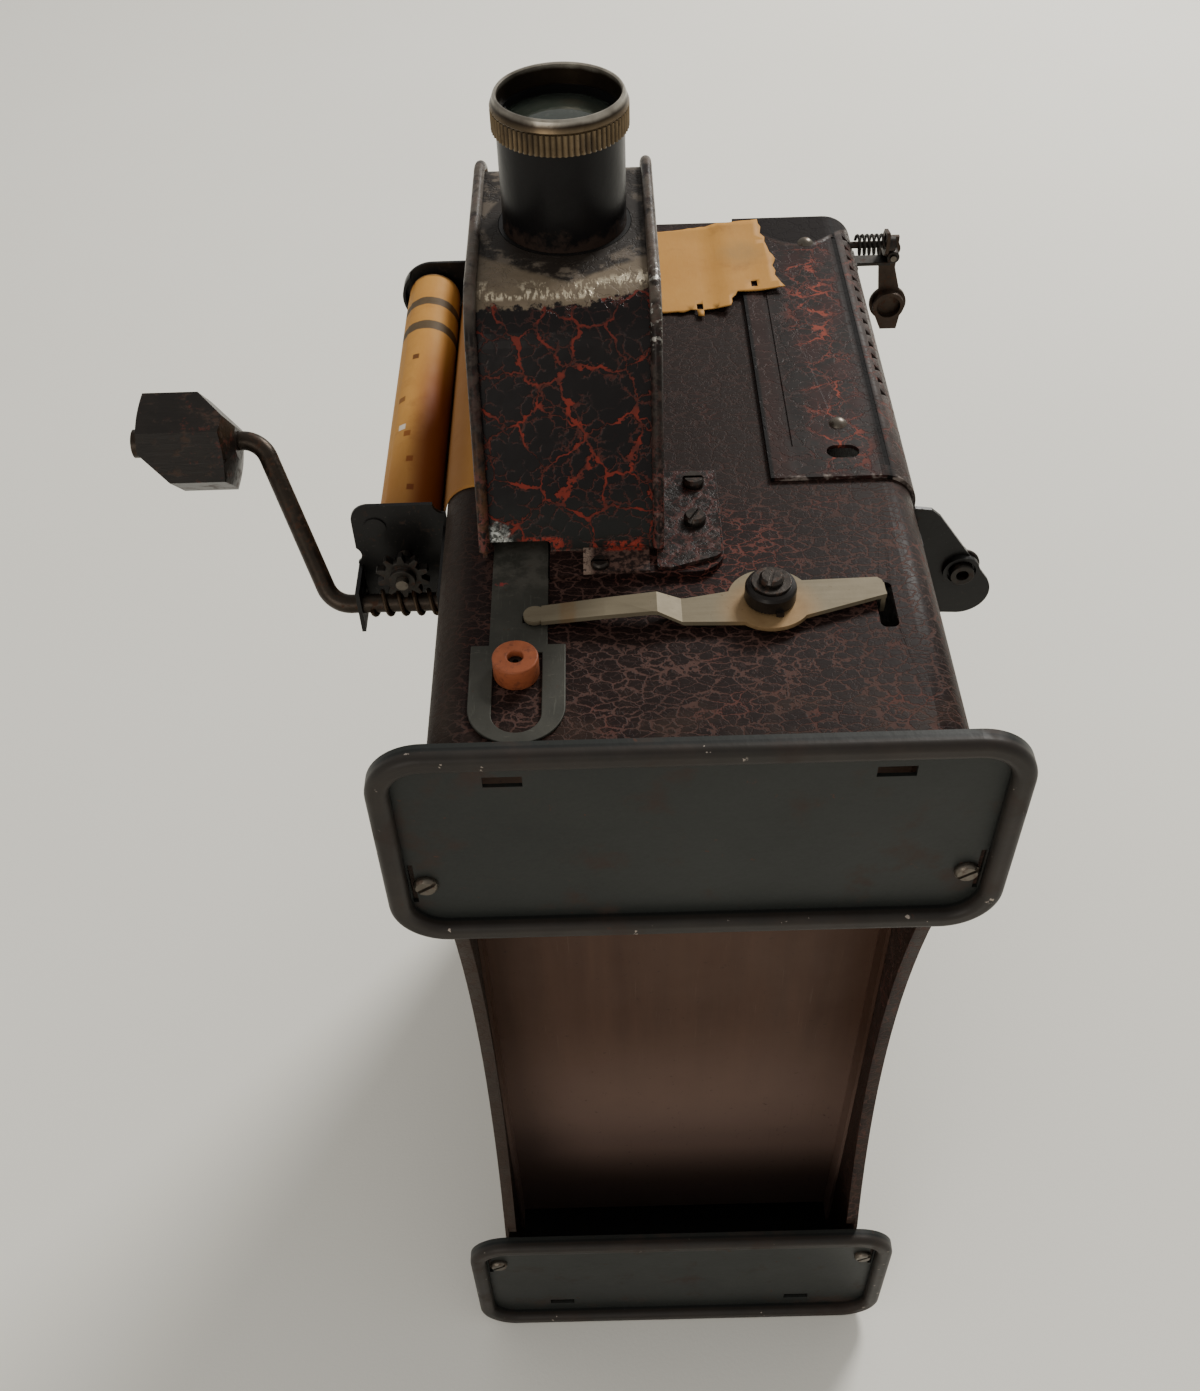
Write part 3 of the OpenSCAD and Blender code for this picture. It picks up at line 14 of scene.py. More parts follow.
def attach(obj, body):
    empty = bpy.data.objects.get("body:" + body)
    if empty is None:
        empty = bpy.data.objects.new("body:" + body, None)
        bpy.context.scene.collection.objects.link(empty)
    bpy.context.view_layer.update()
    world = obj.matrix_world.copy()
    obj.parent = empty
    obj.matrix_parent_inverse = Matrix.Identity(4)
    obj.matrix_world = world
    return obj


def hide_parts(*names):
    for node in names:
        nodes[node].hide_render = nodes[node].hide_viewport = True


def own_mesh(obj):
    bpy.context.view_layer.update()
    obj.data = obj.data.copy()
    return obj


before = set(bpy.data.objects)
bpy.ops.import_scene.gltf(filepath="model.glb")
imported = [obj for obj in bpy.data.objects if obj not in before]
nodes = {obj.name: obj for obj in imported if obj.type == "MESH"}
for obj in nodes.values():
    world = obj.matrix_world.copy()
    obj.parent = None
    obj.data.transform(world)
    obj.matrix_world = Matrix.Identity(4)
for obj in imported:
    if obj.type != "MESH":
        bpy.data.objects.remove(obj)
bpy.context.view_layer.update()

MM = 0.001
# Height above the feet of the middle of the case, where the frame has y = 0.
CASE_MID = 107.1
HALF_W = 56.7
CASE_D = 306.0
CORNER_R = 8.0
# Heights of the two edges of the film, and the middle of its roll in x and z.
FILM_LOW = 88.0
FILM_HIGH = 204.0
ROLL = (-68.0, 287.85)
# Left edge of the lamp cover, and the heights of its two ends.
COVER_X = 22.0
COVER_Y = (92.0, 196.0)
# Middle of the lens tube in x and y, and of the lever's screw.
LENS_AXIS = (-25.3, 115.3)
LEVER_AXIS = (17.2, 40.0)
# Edges of the lens box's folded strip in x, and the top of the flange that carries the box in z.
STRIP_X = (-44.6, -6.9)
FLANGE_Z = 309.2


def place(x, y, z):
    """A point given as the CAD source gives it, in the frame's metres."""
    return Vector((x, y - CASE_MID, z)) * MM


def blend_over(value, low, high):
    """0 below low, 1 above high, and smooth between them."""
    share = min(max((value - low) / (high - low), 0.0), 1.0)
    return share * share * (3 - 2 * share)


def in_scene(name, data):
    """A new object with this data, linked to the scene."""
    thing = bpy.data.objects.new(name, data)
    bpy.context.scene.collection.objects.link(thing)
    return thing


# Camera

def add_camera():
    """The pinhole camera that was fitted to the straight edges in the photograph."""
    turn = (Matrix.Rotation(math.radians(0.682), 3, "Z")
            @ Matrix.Rotation(math.radians(-47.0), 3, "X")
            @ Matrix.Rotation(math.radians(2.093), 3, "Y"))
    right, ahead, up = turn.col[0], turn.col[1], turn.col[2]
    data = bpy.data.cameras.new("camera")
    data.sensor_width = 36.0
    data.lens = 37.48
    data.clip_start = 0.01
    camera = in_scene("camera", data)
    matrix = Matrix((right, up, -ahead)).transposed().to_4x4()
    matrix.translation = Vector((-0.017623, -0.294505, 0.526606))
    camera.matrix_world = matrix
    bpy.context.scene.camera = camera


# Materials

class Finish:
    """A node material. Its methods add nodes and give back the socket with their result."""

    def __init__(self, name):
        self.material = bpy.data.materials.new(name)
        self.material.use_nodes = True
        self.tree = self.material.node_tree
        self.tree.nodes.clear()
        self.shader = self.tree.nodes.new("ShaderNodeBsdfPrincipled")
        output = self.tree.nodes.new("ShaderNodeOutputMaterial")
        self.tree.links.new(self.shader.outputs["BSDF"], output.inputs["Surface"])
        coords = self.tree.nodes.new("ShaderNodeTexCoord")
        # Places on the object, in millimetres. The axes measure as the CAD source does.
        self.spot = self.vector("SCALE", coords.outputs["Object"], scale=1 / MM)
        axes = self.tree.nodes.new("ShaderNodeSeparateXYZ")
        self.tree.links.new(self.spot, axes.inputs[0])
        height = self.math("ADD", axes.outputs[1], CASE_MID)
        self.axis = {"x": axes.outputs[0], "y": height, "z": axes.outputs[2]}

    def put(self, value, socket):
        if isinstance(value, bpy.types.NodeSocket):
            self.tree.links.new(value, socket)
        elif socket.type == "RGBA":
            socket.default_value = (*value, 1.0)
        else:
            socket.default_value = value

    def vector(self, operation, a, b=(0.0, 0.0, 0.0), scale=1.0):
        node = self.tree.nodes.new("ShaderNodeVectorMath")
        node.operation = operation
        self.put(a, node.inputs[0])
        if operation == "SCALE":
            self.put(scale, node.inputs["Scale"])
        else:
            self.put(b, node.inputs[1])
        return node.outputs[0]

    def math(self, operation, a, b=0.0, c=0.0):
        node = self.tree.nodes.new("ShaderNodeMath")
        node.operation = operation
        self.put(a, node.inputs[0])
        self.put(b, node.inputs[1])
        self.put(c, node.inputs[2])
        return node.outputs[0]

    def both(self, *masks):
        """The product of masks or numbers: 1 only where each of them is 1."""
        result = masks[0]
        for mask in masks[1:]:
            result = self.math("MULTIPLY", result, mask)
        return result

    def either(self, a, b):
        return self.math("MAXIMUM", a, b)

    def inverse(self, mask):
        return self.math("SUBTRACT", 1.0, mask)

    def clouds(self, where, size, detail, rough):
        node = self.tree.nodes.new("ShaderNodeTexNoise")
        self.put(where, node.inputs["Vector"])
        node.inputs["Scale"].default_value = 1.0 / size
        node.inputs["Detail"].default_value = detail
        node.inputs["Roughness"].default_value = rough
        return node.outputs

    def noise(self, size, detail=3.0, rough=0.55, stretch=None):
        """Soft noise from 0 to 1 with features about size millimetres across."""
        where = self.vector("MULTIPLY", self.spot, stretch) if stretch else self.spot
        return self.clouds(where, size, detail, rough)["Fac"]

    def pushed(self, amount, size, detail=2.0, where=None):
        """A place, pushed about by noise up to half of amount each way."""
        drift = self.clouds(self.spot, size, detail, 0.6)["Color"]
        shift = self.vector("SUBTRACT", drift, (0.5, 0.5, 0.5))
        where = self.spot if where is None else where
        return self.vector("ADD", where, self.vector("SCALE", shift, scale=amount))

    def seams(self, size, where):
        """Distance from the nearest border between cells, in cell sizes."""
        node = self.tree.nodes.new("ShaderNodeTexVoronoi")
        node.feature = "DISTANCE_TO_EDGE"
        self.put(where, node.inputs["Vector"])
        node.inputs["Scale"].default_value = 1.0 / size
        return node.outputs["Distance"]

    def step(self, value, low, high):
        """0 where value is below low, 1 where it is above high; low may be the larger."""
        node = self.tree.nodes.new("ShaderNodeMapRange")
        node.interpolation_type = "SMOOTHSTEP"
        self.put(value, node.inputs["Value"])
        if low < high:
            limits = (low, high, 0.0, 1.0)
        else:
            limits = (high, low, 1.0, 0.0)
        for name, limit in zip(("From Min", "From Max", "To Min", "To Max"), limits):
            node.inputs[name].default_value = limit
        return node.outputs["Result"]

    def ramp(self, axis, low, high):
        """Like step, with the place along an axis of the object as the value."""
        return self.step(self.axis[axis], low, high)

    def spots(self, low, high, *noise, **shape):
        """Patches of noise: 1 where it is above high, 0 where it is below low."""
        return self.step(self.noise(*noise, **shape), low, high)

    def frayed(self, value, amount, *noise):
        """The value, raised by noise by up to amount."""
        return self.math("MULTIPLY_ADD", self.noise(*noise), amount, value)

    def within(self, axis, low, high, soft=0.5):
        """1 between low and high along an axis of the object, in the source's millimetres."""
        return self.both(self.ramp(axis, low - soft, low + soft), self.ramp(axis, high + soft, high - soft))

    def span(self, a, b):
        """Length of a line that goes a one way and b square to it."""
        return self.math("SQRT", self.math("ADD", self.both(a, a), self.both(b, b)))

    def near(self, x, y, radius, soft, squeeze=1.0):
        """1 round a point seen along Z."""
        dx = self.math("SUBTRACT", self.axis["x"], x)
        dy = self.both(self.math("SUBTRACT", self.axis["y"], y), squeeze)
        return self.step(self.span(dx, dy), radius + soft, radius)

    def mix(self, mask, a, b):
        """Colour a where mask is 0, b where it is 1."""
        node = self.tree.nodes.new("ShaderNodeMix")
        node.data_type = "RGBA"
        self.put(mask, node.inputs["Factor"])
        self.put(a, node.inputs[6])
        self.put(b, node.inputs[7])
        return node.outputs[2]

    def over(self, colour, tint, *masks):
        """The colour, with tint over it where every mask is 1."""
        return self.mix(self.both(*masks), colour, tint)

    def level(self, mask, a, b):
        """Number a where mask is 0, b where it is 1."""
        node = self.tree.nodes.new("ShaderNodeMix")
        self.put(mask, node.inputs["Factor"])
        self.put(a, node.inputs[2])
        self.put(b, node.inputs[3])
        return node.outputs[0]

    def relief(self, height, depth, strength=1.0, below=None):
        """Bump of depth millimetres, on top of another bump."""
        node = self.tree.nodes.new("ShaderNodeBump")
        node.inputs["Distance"].default_value = depth * MM
        node.inputs["Strength"].default_value = strength
        self.put(height, node.inputs["Height"])
        if below is not None:
            self.put(below, node.inputs["Normal"])
        return node.outputs["Normal"]

    def done(self, colour, roughness, metallic=0.0, normal=None, specular=0.25):
        self.put(colour, self.shader.inputs["Base Color"])
        self.put(roughness, self.shader.inputs["Roughness"])
        self.put(metallic, self.shader.inputs["Metallic"])
        if normal is not None:
            self.put(normal, self.shader.inputs["Normal"])
        self.shader.inputs["Specular IOR Level"].default_value = specular
        return self.material


ENAMEL = (0.0105, 0.0056, 0.0048)
VEIN = (0.080, 0.042, 0.034)
RED_VEIN = (0.21, 0.027, 0.016)
RUST = (0.085, 0.030, 0.012)


def fine_cracks(f, size, width):
    """A net of thin jagged cracks about width across, with cells a little wider than high."""
    half = width / size / 2
    squeezed = f.vector("MULTIPLY", f.spot, (0.72, 1.25, 1.0))
    where = f.pushed(size * 0.7, size * 0.6, 3.0, squeezed)
    thick = f.frayed(-half, half * 2.6, 4.0)
    return f.step(f.math("SUBTRACT", f.seams(size, where), thick), half, half * 0.1)


def broken_cracks(f, size, width):
    """Large jagged cracks that swell and die out, the twigs that grow from them, and the swelling."""
    half = width / size / 2
    jagged = f.pushed(width * 1.9, width * 1.8, 2.0)
    trunk = f.seams(size, f.pushed(size * 0.40, size * 0.36, 3.0, jagged))
    swell = f.noise(size * 0.5, 2.0)
    thick = f.math("MULTIPLY_ADD", swell, half * 3.3, -half * 1.05)
    main = f.step(f.math("SUBTRACT", trunk, thick), half * 0.5, 0.0)
    twig_edge = f.seams(size * 0.34, f.pushed(size * 0.2, size * 0.12, 3.0))
    twig = f.step(twig_edge, 0.75 / size, 0.0)
    patchy = f.spots(0.36, 0.50, size * 0.45, 2.0)
    return main, f.both(twig, f.step(trunk, 0.36, 0.06), patchy), f.step(swell, 0.42, 0.62)


def case_enamel(name):
    """Dark maroon crackle enamel. Its net of pinkish cracks is strongest low on the front, and painted
    sheen lightens its top and its rounded edges.
    """
    f = Finish(name)
    cracks = fine_cracks(f, 3.0, 0.33)
    hair = fine_cracks(f, 1.8, 0.18)
    patch = f.spots(0.30, 0.58, 22.0, 2.0)
    high = f.ramp("y", 62.0, 98.0)
    left = f.ramp("x", -40.0, -49.0)
    strength = f.both(f.level(patch, 0.65, 1.0), f.level(high, 1.0, 0.30), f.level(left, 1.0, 0.5))
    blush = f.spots(0.58, 0.70, 15.0, 2.0)
    over_lever = f.near(8.0, 62.0, 9.0, 14.0)
    redder = f.either(f.both(blush, 0.3), f.both(over_lever, 0.55))
    vein = f.mix(redder, VEIN, (0.17, 0.042, 0.030))
    ground = f.mix(f.noise(30.0, 3.0), ENAMEL, (0.0165, 0.0092, 0.0082))
    # Painted sheen: the ground is lighter towards the top.
    ground = f.mix(f.both(high, 0.8), ground, (0.024, 0.0155, 0.0130))
    colour = f.mix(f.both(hair, strength, 0.25), ground, vein)
    colour = f.over(colour, vein, cracks, strength)
    # The rounded edges carry a painted sheen, a lighter grey-brown that covers most of the net.
    edge_sheen = f.either(f.ramp("x", -47.0, -54.0), f.both(f.ramp("x", 52.0, 56.0), 0.35))
    sheen_colour = f.mix(f.noise(1.4, 2.0), (0.031, 0.024, 0.019), (0.066, 0.052, 0.042))
    colour = f.over(colour, sheen_colour, edge_sheen, f.level(f.noise(12.0), 0.5, 1.0))
    # Browned edge where the sides are turned round the arches.
    low = f.both(f.ramp("y", 26.0, 8.0), f.spots(0.42, 0.6, 11.0))
    colour = f.over(colour, (0.040, 0.024, 0.017), low, 0.5)
    bump = f.relief(f.inverse(f.either(cracks, f.both(hair, 0.4))), 0.10, 0.6)
    bump = f.relief(f.noise(1.1, 2.0), 0.05, 0.35, bump)
    rough = f.level(f.noise(20.0), 0.34, 0.52)
    return f.done(colour, f.level(cracks, rough, 0.62), normal=bump, specular=0.09)


def worn_bend(f, colour):
    """The upper bend of the lens box: bare, sooty metal, with painted shade round the foot of the tube.
    Also gives its mask and its bright streaks.
    """
    # The paint ends raggedly, a little higher towards the right.
    right = f.math("MAXIMUM", f.math("ADD", f.axis["x"], 20.0), 0.0)
    rise = f.math("MULTIPLY_ADD", right, -0.28, f.axis["y"])
    ragged = f.frayed(rise, 7.0, 2.6, 5.0, 0.68)
    far = f.ramp("y", 148.0, 144.0)
    bare = f.both(f.step(ragged, 86.6, 87.3), far)
    # Soot and painted shade round the foot of the tube, and brown dirt outside it.
    out = f.math("ABSOLUTE", f.math("ADD", f.axis["x"], 24.5))
    arch = f.math("MULTIPLY_ADD", out, -0.62, f.axis["y"])
    arch = f.frayed(arch, 3.0, 4.0, 4.0, 0.6)
    soot = f.step(arch, 89.3, 91.6)
    khaki = f.mix(f.noise(3.0, 4.0), (0.115, 0.088, 0.058), (0.215, 0.168, 0.115))
    colour = f.mix(bare, colour, khaki)
    # Bright scratched streaks in a band below the paint's edge; their brightness is partly a painted
    # highlight.
    streak = f.noise(0.8, 3.0, 0.6, stretch=(1.0, 0.30, 0.45))
    lit = f.both(f.step(rise, 91.5, 87.5), f.step(rise, 84.4, 85.4))
    where_lit = f.spots(0.40, 0.52, 6.5, 3.0)
    bright = f.both(bare, lit, where_lit, f.step(streak, 0.47, 0.56))
    colour = f.mix(bright, colour, f.mix(streak, (0.42, 0.34, 0.23), (0.95, 0.84, 0.63)))
    dirt_and_shade = f.mix(f.noise(4.5, 4.0, 0.62), (0.010, 0.0075, 0.0060), (0.036, 0.028, 0.022))
    pale = f.both(f.inverse(f.near(*LENS_AXIS, 17.6, 1.2)), f.spots(0.46, 0.62, 4.2, 4.0, 0.66))
    dirt_and_shade = f.mix(f.both(pale, 0.8), dirt_and_shade, (0.155, 0.125, 0.095))
    return f.over(colour, dirt_and_shade, bare, soot), bare, streak, bright


def bright_corner(f, colour):
    """Worn tin at the lower left corner of the lens box, made bright with a painted highlight. Also gives
    its mask.
    """
    dx = f.both(f.math("ADD", f.axis["x"], 44.2), 0.75)
    dz = f.math("SUBTRACT", f.axis["z"], FLANGE_Z + 1.0)
    reach = f.frayed(f.span(dx, dz), 5.0, 1.6, 4.0, 0.65)
    corner = f.both(f.step(reach, 7.2, 4.6), f.ramp("y", 72.0, 70.0))
    # Worn tin, lightened by a painted highlight.
    tin_and_highlight = f.mix(f.spots(0.40, 0.60, 1.0, 3.0), (0.10, 0.105, 0.095), (0.60, 0.62, 0.58))
    return f.mix(corner, colour, tin_and_highlight), corner


def rusty_tab(f, colour):
    """The rusty tab of the lens box, and red paint over it and low on the left. Also gives its mask."""
    tab = f.both(f.ramp("y", 62.2, 61.6), f.ramp("z", 309.4, 309.0))
    rusty = f.mix(f.spots(0.42, 0.62, 1.3, 4.0, 0.65), (0.022, 0.014, 0.012), (0.125, 0.070, 0.055))
    colour = f.mix(tab, colour, rusty)
    left_end = f.both(tab, f.ramp("x", -20.4, -22.2), f.spots(0.35, 0.5, 1.1, 3.0))
    colour = f.mix(left_end, colour, (0.28, 0.20, 0.155))
    lower = f.both(f.ramp("z", 311.3, 310.7), f.within("x", -37.0, -27.0, 2.0), f.ramp("y", 72.0, 70.0))
    bend = f.both(f.within("x", -18.0, -9.5, 1.0), f.within("y", 60.6, 63.0, 0.4))
    bend = f.both(bend, f.ramp("z", FLANGE_Z + 0.8, FLANGE_Z + 0.2))
    patch = f.both(f.either(bend, lower), f.spots(0.44, 0.54, 1.2, 4.0, 0.7))
    return f.mix(patch, colour, (0.27, 0.036, 0.022)), tab


def box_enamel(name):
    """Glossy black enamel split by red cracks, worn to bare metal round the upper bend."""
    f = Finish(name)
    main, twigs, swollen = broken_cracks(f, 10.5, 0.58)
    ground = f.mix(f.noise(20.0, 3.0), (0.0062, 0.0048, 0.0050), (0.0115, 0.0088, 0.0084))
    sheen = f.both(f.ramp("z", 324.0, 312.0), f.level(f.noise(16.0, 2.0), 0.4, 1.0))
    ground = f.mix(sheen, ground, (0.020, 0.021, 0.0185))
    low = f.ramp("z", 356.0, 342.0)
    red = f.mix(swollen, (0.085, 0.021, 0.015), RED_VEIN)
    colour = f.mix(f.both(twigs, f.level(low, 0.45, 0.85)), ground, (0.098, 0.026, 0.019))
    colour = f.over(colour, red, main, f.level(low, 0.65, 1.0))
    colour, bare, streak, bright = worn_bend(f, colour)
    colour, corner = bright_corner(f, colour)
    colour, tab = rusty_tab(f, colour)
    # Dark seams between the strip and the side plates.
    left, right = STRIP_X
    sides = f.either(f.ramp("x", left + 0.7, left), f.ramp("x", right - 0.7, right))
    colour = f.over(colour, (0.004, 0.003, 0.003), sides, 0.85)
    metal = f.either(bright, corner)
    rough = f.level(f.either(main, twigs), f.level(f.noise(14.0), 0.17, 0.30), 0.6)
    rough = f.level(f.either(bare, tab), rough, 0.52)
    rough = f.level(metal, rough, 0.30)
    bump = f.relief(f.inverse(f.either(main, f.both(twigs, 0.6))), 0.16, 0.8)
    bump = f.relief(f.noise(7.0, 2.0), 0.35, 0.35, bump)
    bump = f.relief(f.both(streak, bare), 0.05, 0.5, bump)
    return f.done(colour, rough, f.both(metal, 0.8), bump, specular=0.2)


def cover_soot(f, colour):
    """Soot above a curve that hangs lowest at the upper rivet, and a paler line. Also gives the two."""
    aside = f.math("SUBTRACT", f.axis["x"], 40.5)
    arch = f.math("MULTIPLY_ADD", f.both(aside, aside), -0.055, f.axis["y"])
    arch = f.frayed(arch, 1.6, 5.0, 3.0)
    soot = f.step(arch, 194.2, 195.8)
    rim = f.both(f.step(arch, 193.0, 194.0), f.step(arch, 195.6, 194.4))
    colour = f.mix(soot, colour, (0.0060, 0.0030, 0.0025))
    colour = f.over(colour, (0.100, 0.072, 0.064), rim, f.level(f.noise(6.0), 0.2, 0.9))
    shade = f.both(f.step(arch, 193.4, 192.6), f.step(arch, 187.0, 191.0))
    return f.over(colour, (0.020, 0.0095, 0.0085), shade, 0.6), arch, soot


def cover_enamel(name):
    """The lamp cover: dark gloss enamel, with red cracks up its middle and along its edge."""
    f = Finish(name)
    hair = fine_cracks(f, 3.4, 0.26)
    main, twigs, swollen = broken_cracks(f, 9.0, 0.55)
    middle = f.either(f.within("x", 35.0, 46.0, 3.5), f.within("x", 52.0, 56.0, 1.2))
    zone = f.both(middle, f.within("y", *COVER_Y, 5.0))
    ground = f.mix(f.noise(17.0, 3.0), (0.0110, 0.0082, 0.0074), (0.0205, 0.0165, 0.0150))
    stain = f.both(f.within("x", 34.0, 49.0, 3.0), f.spots(0.42, 0.56, 9.0, 3.0))
    ground = f.mix(f.both(stain, 0.85), ground, (0.033, 0.0125, 0.0110))
    ground = f.mix(f.ramp("x", 31.0, 25.0), ground, (0.028, 0.0145, 0.0120))
    colour = f.mix(f.both(hair, f.level(f.noise(15.0), 0.0, 0.7)), ground, (0.078, 0.045, 0.039))
    red = f.mix(swollen, (0.100, 0.030, 0.022), (0.24, 0.050, 0.030))
    colour = f.over(colour, (0.12, 0.038, 0.028), twigs, f.level(zone, 0.10, 0.9))
    colour = f.over(colour, red, main, f.level(zone, 0.06, 1.0))
    # Rounded edge with the vents: brown-grey and rubbed.
    edge = f.ramp("x", 51.0, 53.0)
    rubbed = f.mix(f.noise(3.0, 3.0, stretch=(1.0, 0.4, 1.0)), (0.038, 0.027, 0.024), (0.105, 0.082, 0.072))
    colour = f.over(colour, rubbed, edge, f.level(f.noise(9.0), 0.35, 0.95))
    colour, arch, soot = cover_soot(f, colour)
    # Chipped lower lip, and painted shade in the seam and the pressed lines.
    valley = f.either(f.both(f.within("x", 27.4, 28.6, 1.2), 0.35), f.within("x", 49.2, 52.0, 0.9))
    groove_shade = f.both(valley, f.ramp("z", CASE_D + 0.5, CASE_D + 1.0), f.within("y", *COVER_Y, 1.0), 0.7)
    colour = f.mix(groove_shade, colour, (0.0075, 0.0055, 0.0050))
    lip = f.both(f.ramp("y", 88.3, 87.5), f.spots(0.46, 0.60, 4.0, 3.0))
    colour = f.mix(lip, colour, (0.20, 0.165, 0.145))
    seam = f.either(f.ramp("x", COVER_X + 1.3, COVER_X + 0.5),
                    f.both(f.within("x", 49.9, 51.3, 0.25), f.ramp("z", 306.95, 306.85)))
    colour = f.mix(seam, colour, (0.005, 0.004, 0.004))
    rough = f.level(f.either(main, hair), f.level(f.noise(16.0), 0.28, 0.44), 0.6)
    rough = f.level(f.either(soot, valley), rough, 0.7)
    bump = f.relief(f.inverse(f.either(main, f.both(hair, 0.5))), 0.14, 0.7)
    bump = f.relief(f.step(arch, 193.0, 195.4), 0.5, 0.8, bump)
    bump = f.relief(f.noise(10.0, 2.0), 0.4, 0.3, bump)
    return f.done(colour, rough, normal=bump, specular=0.12)


def worn_enamel(name):
    """Side plates of the lens box: dark enamel rubbed to grey-brown, redder towards the base."""
    f = Finish(name)
    ground = f.mix(f.noise(8.0, 4.0), (0.0080, 0.0062, 0.0056), (0.020, 0.0145, 0.0125))
    up = f.ramp("z", 318.0, 354.0)
    rubbed = f.spots(0.46, 0.60, 3.0, 5.0, 0.66)
    grey = f.mix(f.noise(1.6, 3.0), (0.026, 0.019, 0.016), (0.080, 0.062, 0.051))
    flange = f.ramp("z", FLANGE_Z + 0.8, FLANGE_Z)
    colour = f.mix(f.both(rubbed, f.level(up, 0.45, 0.9), f.level(flange, 0.85, 0.12)), ground, grey)
    top = f.both(f.ramp("z", 355.0, 360.5), f.spots(0.34, 0.5, 5.0, 3.0))
    khaki = f.mix(f.noise(2.2, 4.0), (0.075, 0.062, 0.050), (0.170, 0.143, 0.115))
    colour = f.over(colour, khaki, top, 0.75)
    # Bare bright scuffs on the upper bend.
    bend = f.both(f.within("y", 76.0, 92.0, 3.0), f.ramp("z", 350.0, 354.0), f.ramp("x", -10.0, -8.0))
    scuff = f.both(bend, f.spots(0.56, 0.64, 1.3, 3.0, 0.6, stretch=(0.5, 1.0, 1.0)))
    colour = f.mix(scuff, colour, (0.46, 0.45, 0.41))
    main, twigs, swollen = broken_cracks(f, 6.0, 0.55)
    near_base = f.ramp("z", 336.0, 318.0)
    cracked = f.both(f.either(main, twigs), f.level(near_base, 0.1, 0.85), f.level(flange, 1.0, 0.4))
    colour = f.mix(cracked, colour, (0.15, 0.045, 0.036))
    # The left bead is rusty low down, and the foot of the right plate pinkish.
    blotch = f.spots(0.42, 0.58, 3.6, 4.0, 0.62)
    rust = f.both(blotch, f.ramp("x", -40.0, -42.0), f.ramp("z", 344.0, 322.0))
    colour = f.over(colour, (0.085, 0.040, 0.018), rust, 0.75)
    pink = f.both(near_base, f.spots(0.52, 0.64, 2.0, 4.0, 0.65), f.ramp("x", -10.0, -8.0))
    colour = f.over(colour, (0.17, 0.100, 0.085), pink, f.level(flange, 0.6, 0.2))
    bump = f.relief(f.noise(1.3, 4.0), 0.12, 0.6)
    bump = f.relief(rubbed, 0.10, 0.6, bump)
    return f.done(colour, f.level(rubbed, 0.30, 0.48), f.both(scuff, 0.8), bump, specular=0.15)


def black_enamel(name):
    """Plain black stoving enamel with a little dust and rust."""
    f = Finish(name)
    ground = f.mix(f.noise(14.0, 3.0), (0.0060, 0.0058, 0.0058), (0.0130, 0.0122, 0.0112))
    spots = f.spots(0.60, 0.68, 2.6, 5.0, 0.7)
    colour = f.mix(f.both(spots, 0.5), ground, (0.055, 0.032, 0.021))
    dust = f.spots(0.66, 0.74, 0.7, 3.0)
    colour = f.over(colour, (0.10, 0.085, 0.072), dust, 0.35)
    bump = f.relief(f.noise(1.8, 4.0), 0.07, 0.6)
    rough = f.level(spots, f.level(f.noise(9.0), 0.28, 0.48), 0.7)
    return f.done(colour, rough, normal=bump)


def tube_enamel(name):
    """The lens tube: satin black, with a rusty foot and a rubbed upper rim."""
    f = Finish(name)
    cloud = f.noise(9.0, 4.0, stretch=(1.0, 1.0, 0.35))
    ground = f.mix(cloud, (0.0032, 0.0030, 0.0034), (0.0080, 0.0074, 0.0076))
    foot = f.step(f.frayed(f.axis["z"], 13.0, 3.5, 4.0, 0.7), 370.5, 367.0)
    colour = f.mix(f.both(foot, 0.7), ground, (0.034, 0.020, 0.014))
    flecks = f.spots(0.67, 0.74, 1.2, 4.0, 0.7)
    colour = f.over(colour, (0.060, 0.040, 0.030), flecks, 0.5)
    bump = f.relief(f.noise(1.6, 3.0), 0.05, 0.6)
    bump = f.relief(f.noise(14.0, 2.0), 0.4, 0.25, bump)
    rough = f.level(f.either(foot, flecks), f.level(f.noise(7.0), 0.26, 0.40), 0.66)
    return f.done(colour, rough, normal=bump, specular=0.16)


def foot_enamel(name):
    """The feet: grey-green black enamel, rusty in patches, with chipped rolled rims."""
    f = Finish(name)
    ground = f.mix(f.noise(30.0, 3.0), (0.0105, 0.0120, 0.0110), (0.0230, 0.0255, 0.0230))
    grain = f.noise(0.8, 3.0)
    ground = f.mix(f.both(grain, 0.35), ground, (0.038, 0.040, 0.037))
    stain = f.spots(0.54, 0.70, 17.0, 4.0, 0.62)
    colour = f.mix(f.both(stain, 0.45), ground, (0.050, 0.027, 0.019))
    pit = f.spots(0.66, 0.74, 3.4, 4.0, 0.7)
    colour = f.over(colour, (0.085, 0.034, 0.020), pit, 0.6)
    # The rims below the dish are browner, with small pale chips.
    rim = f.ramp("y", 2.9, 2.2)
    brown = f.mix(f.noise(7.0, 3.0), (0.017, 0.013, 0.011), (0.046, 0.033, 0.026))
    colour = f.over(colour, brown, rim, f.level(f.noise(13.0), 0.25, 0.95))
    chip = f.both(rim, f.spots(0.685, 0.715, 3.1, 4.0, 0.6))
    colour = f.mix(chip, colour, (0.34, 0.29, 0.25))
    groove = f.both(f.ramp("y", 3.44, 3.2), f.inverse(rim))
    colour = f.over(colour, (0.006, 0.006, 0.006), groove, 0.6)
    bump = f.relief(f.noise(2.2, 4.0), 0.08, 0.6)
    bump = f.relief(f.noise(24.0, 2.0), 0.8, 0.3, bump)
    rough = f.level(f.either(stain, pit), f.level(f.noise(11.0), 0.38, 0.50), 0.62)
    return f.done(colour, rough, f.both(chip, 0.5), bump, specular=0.2)


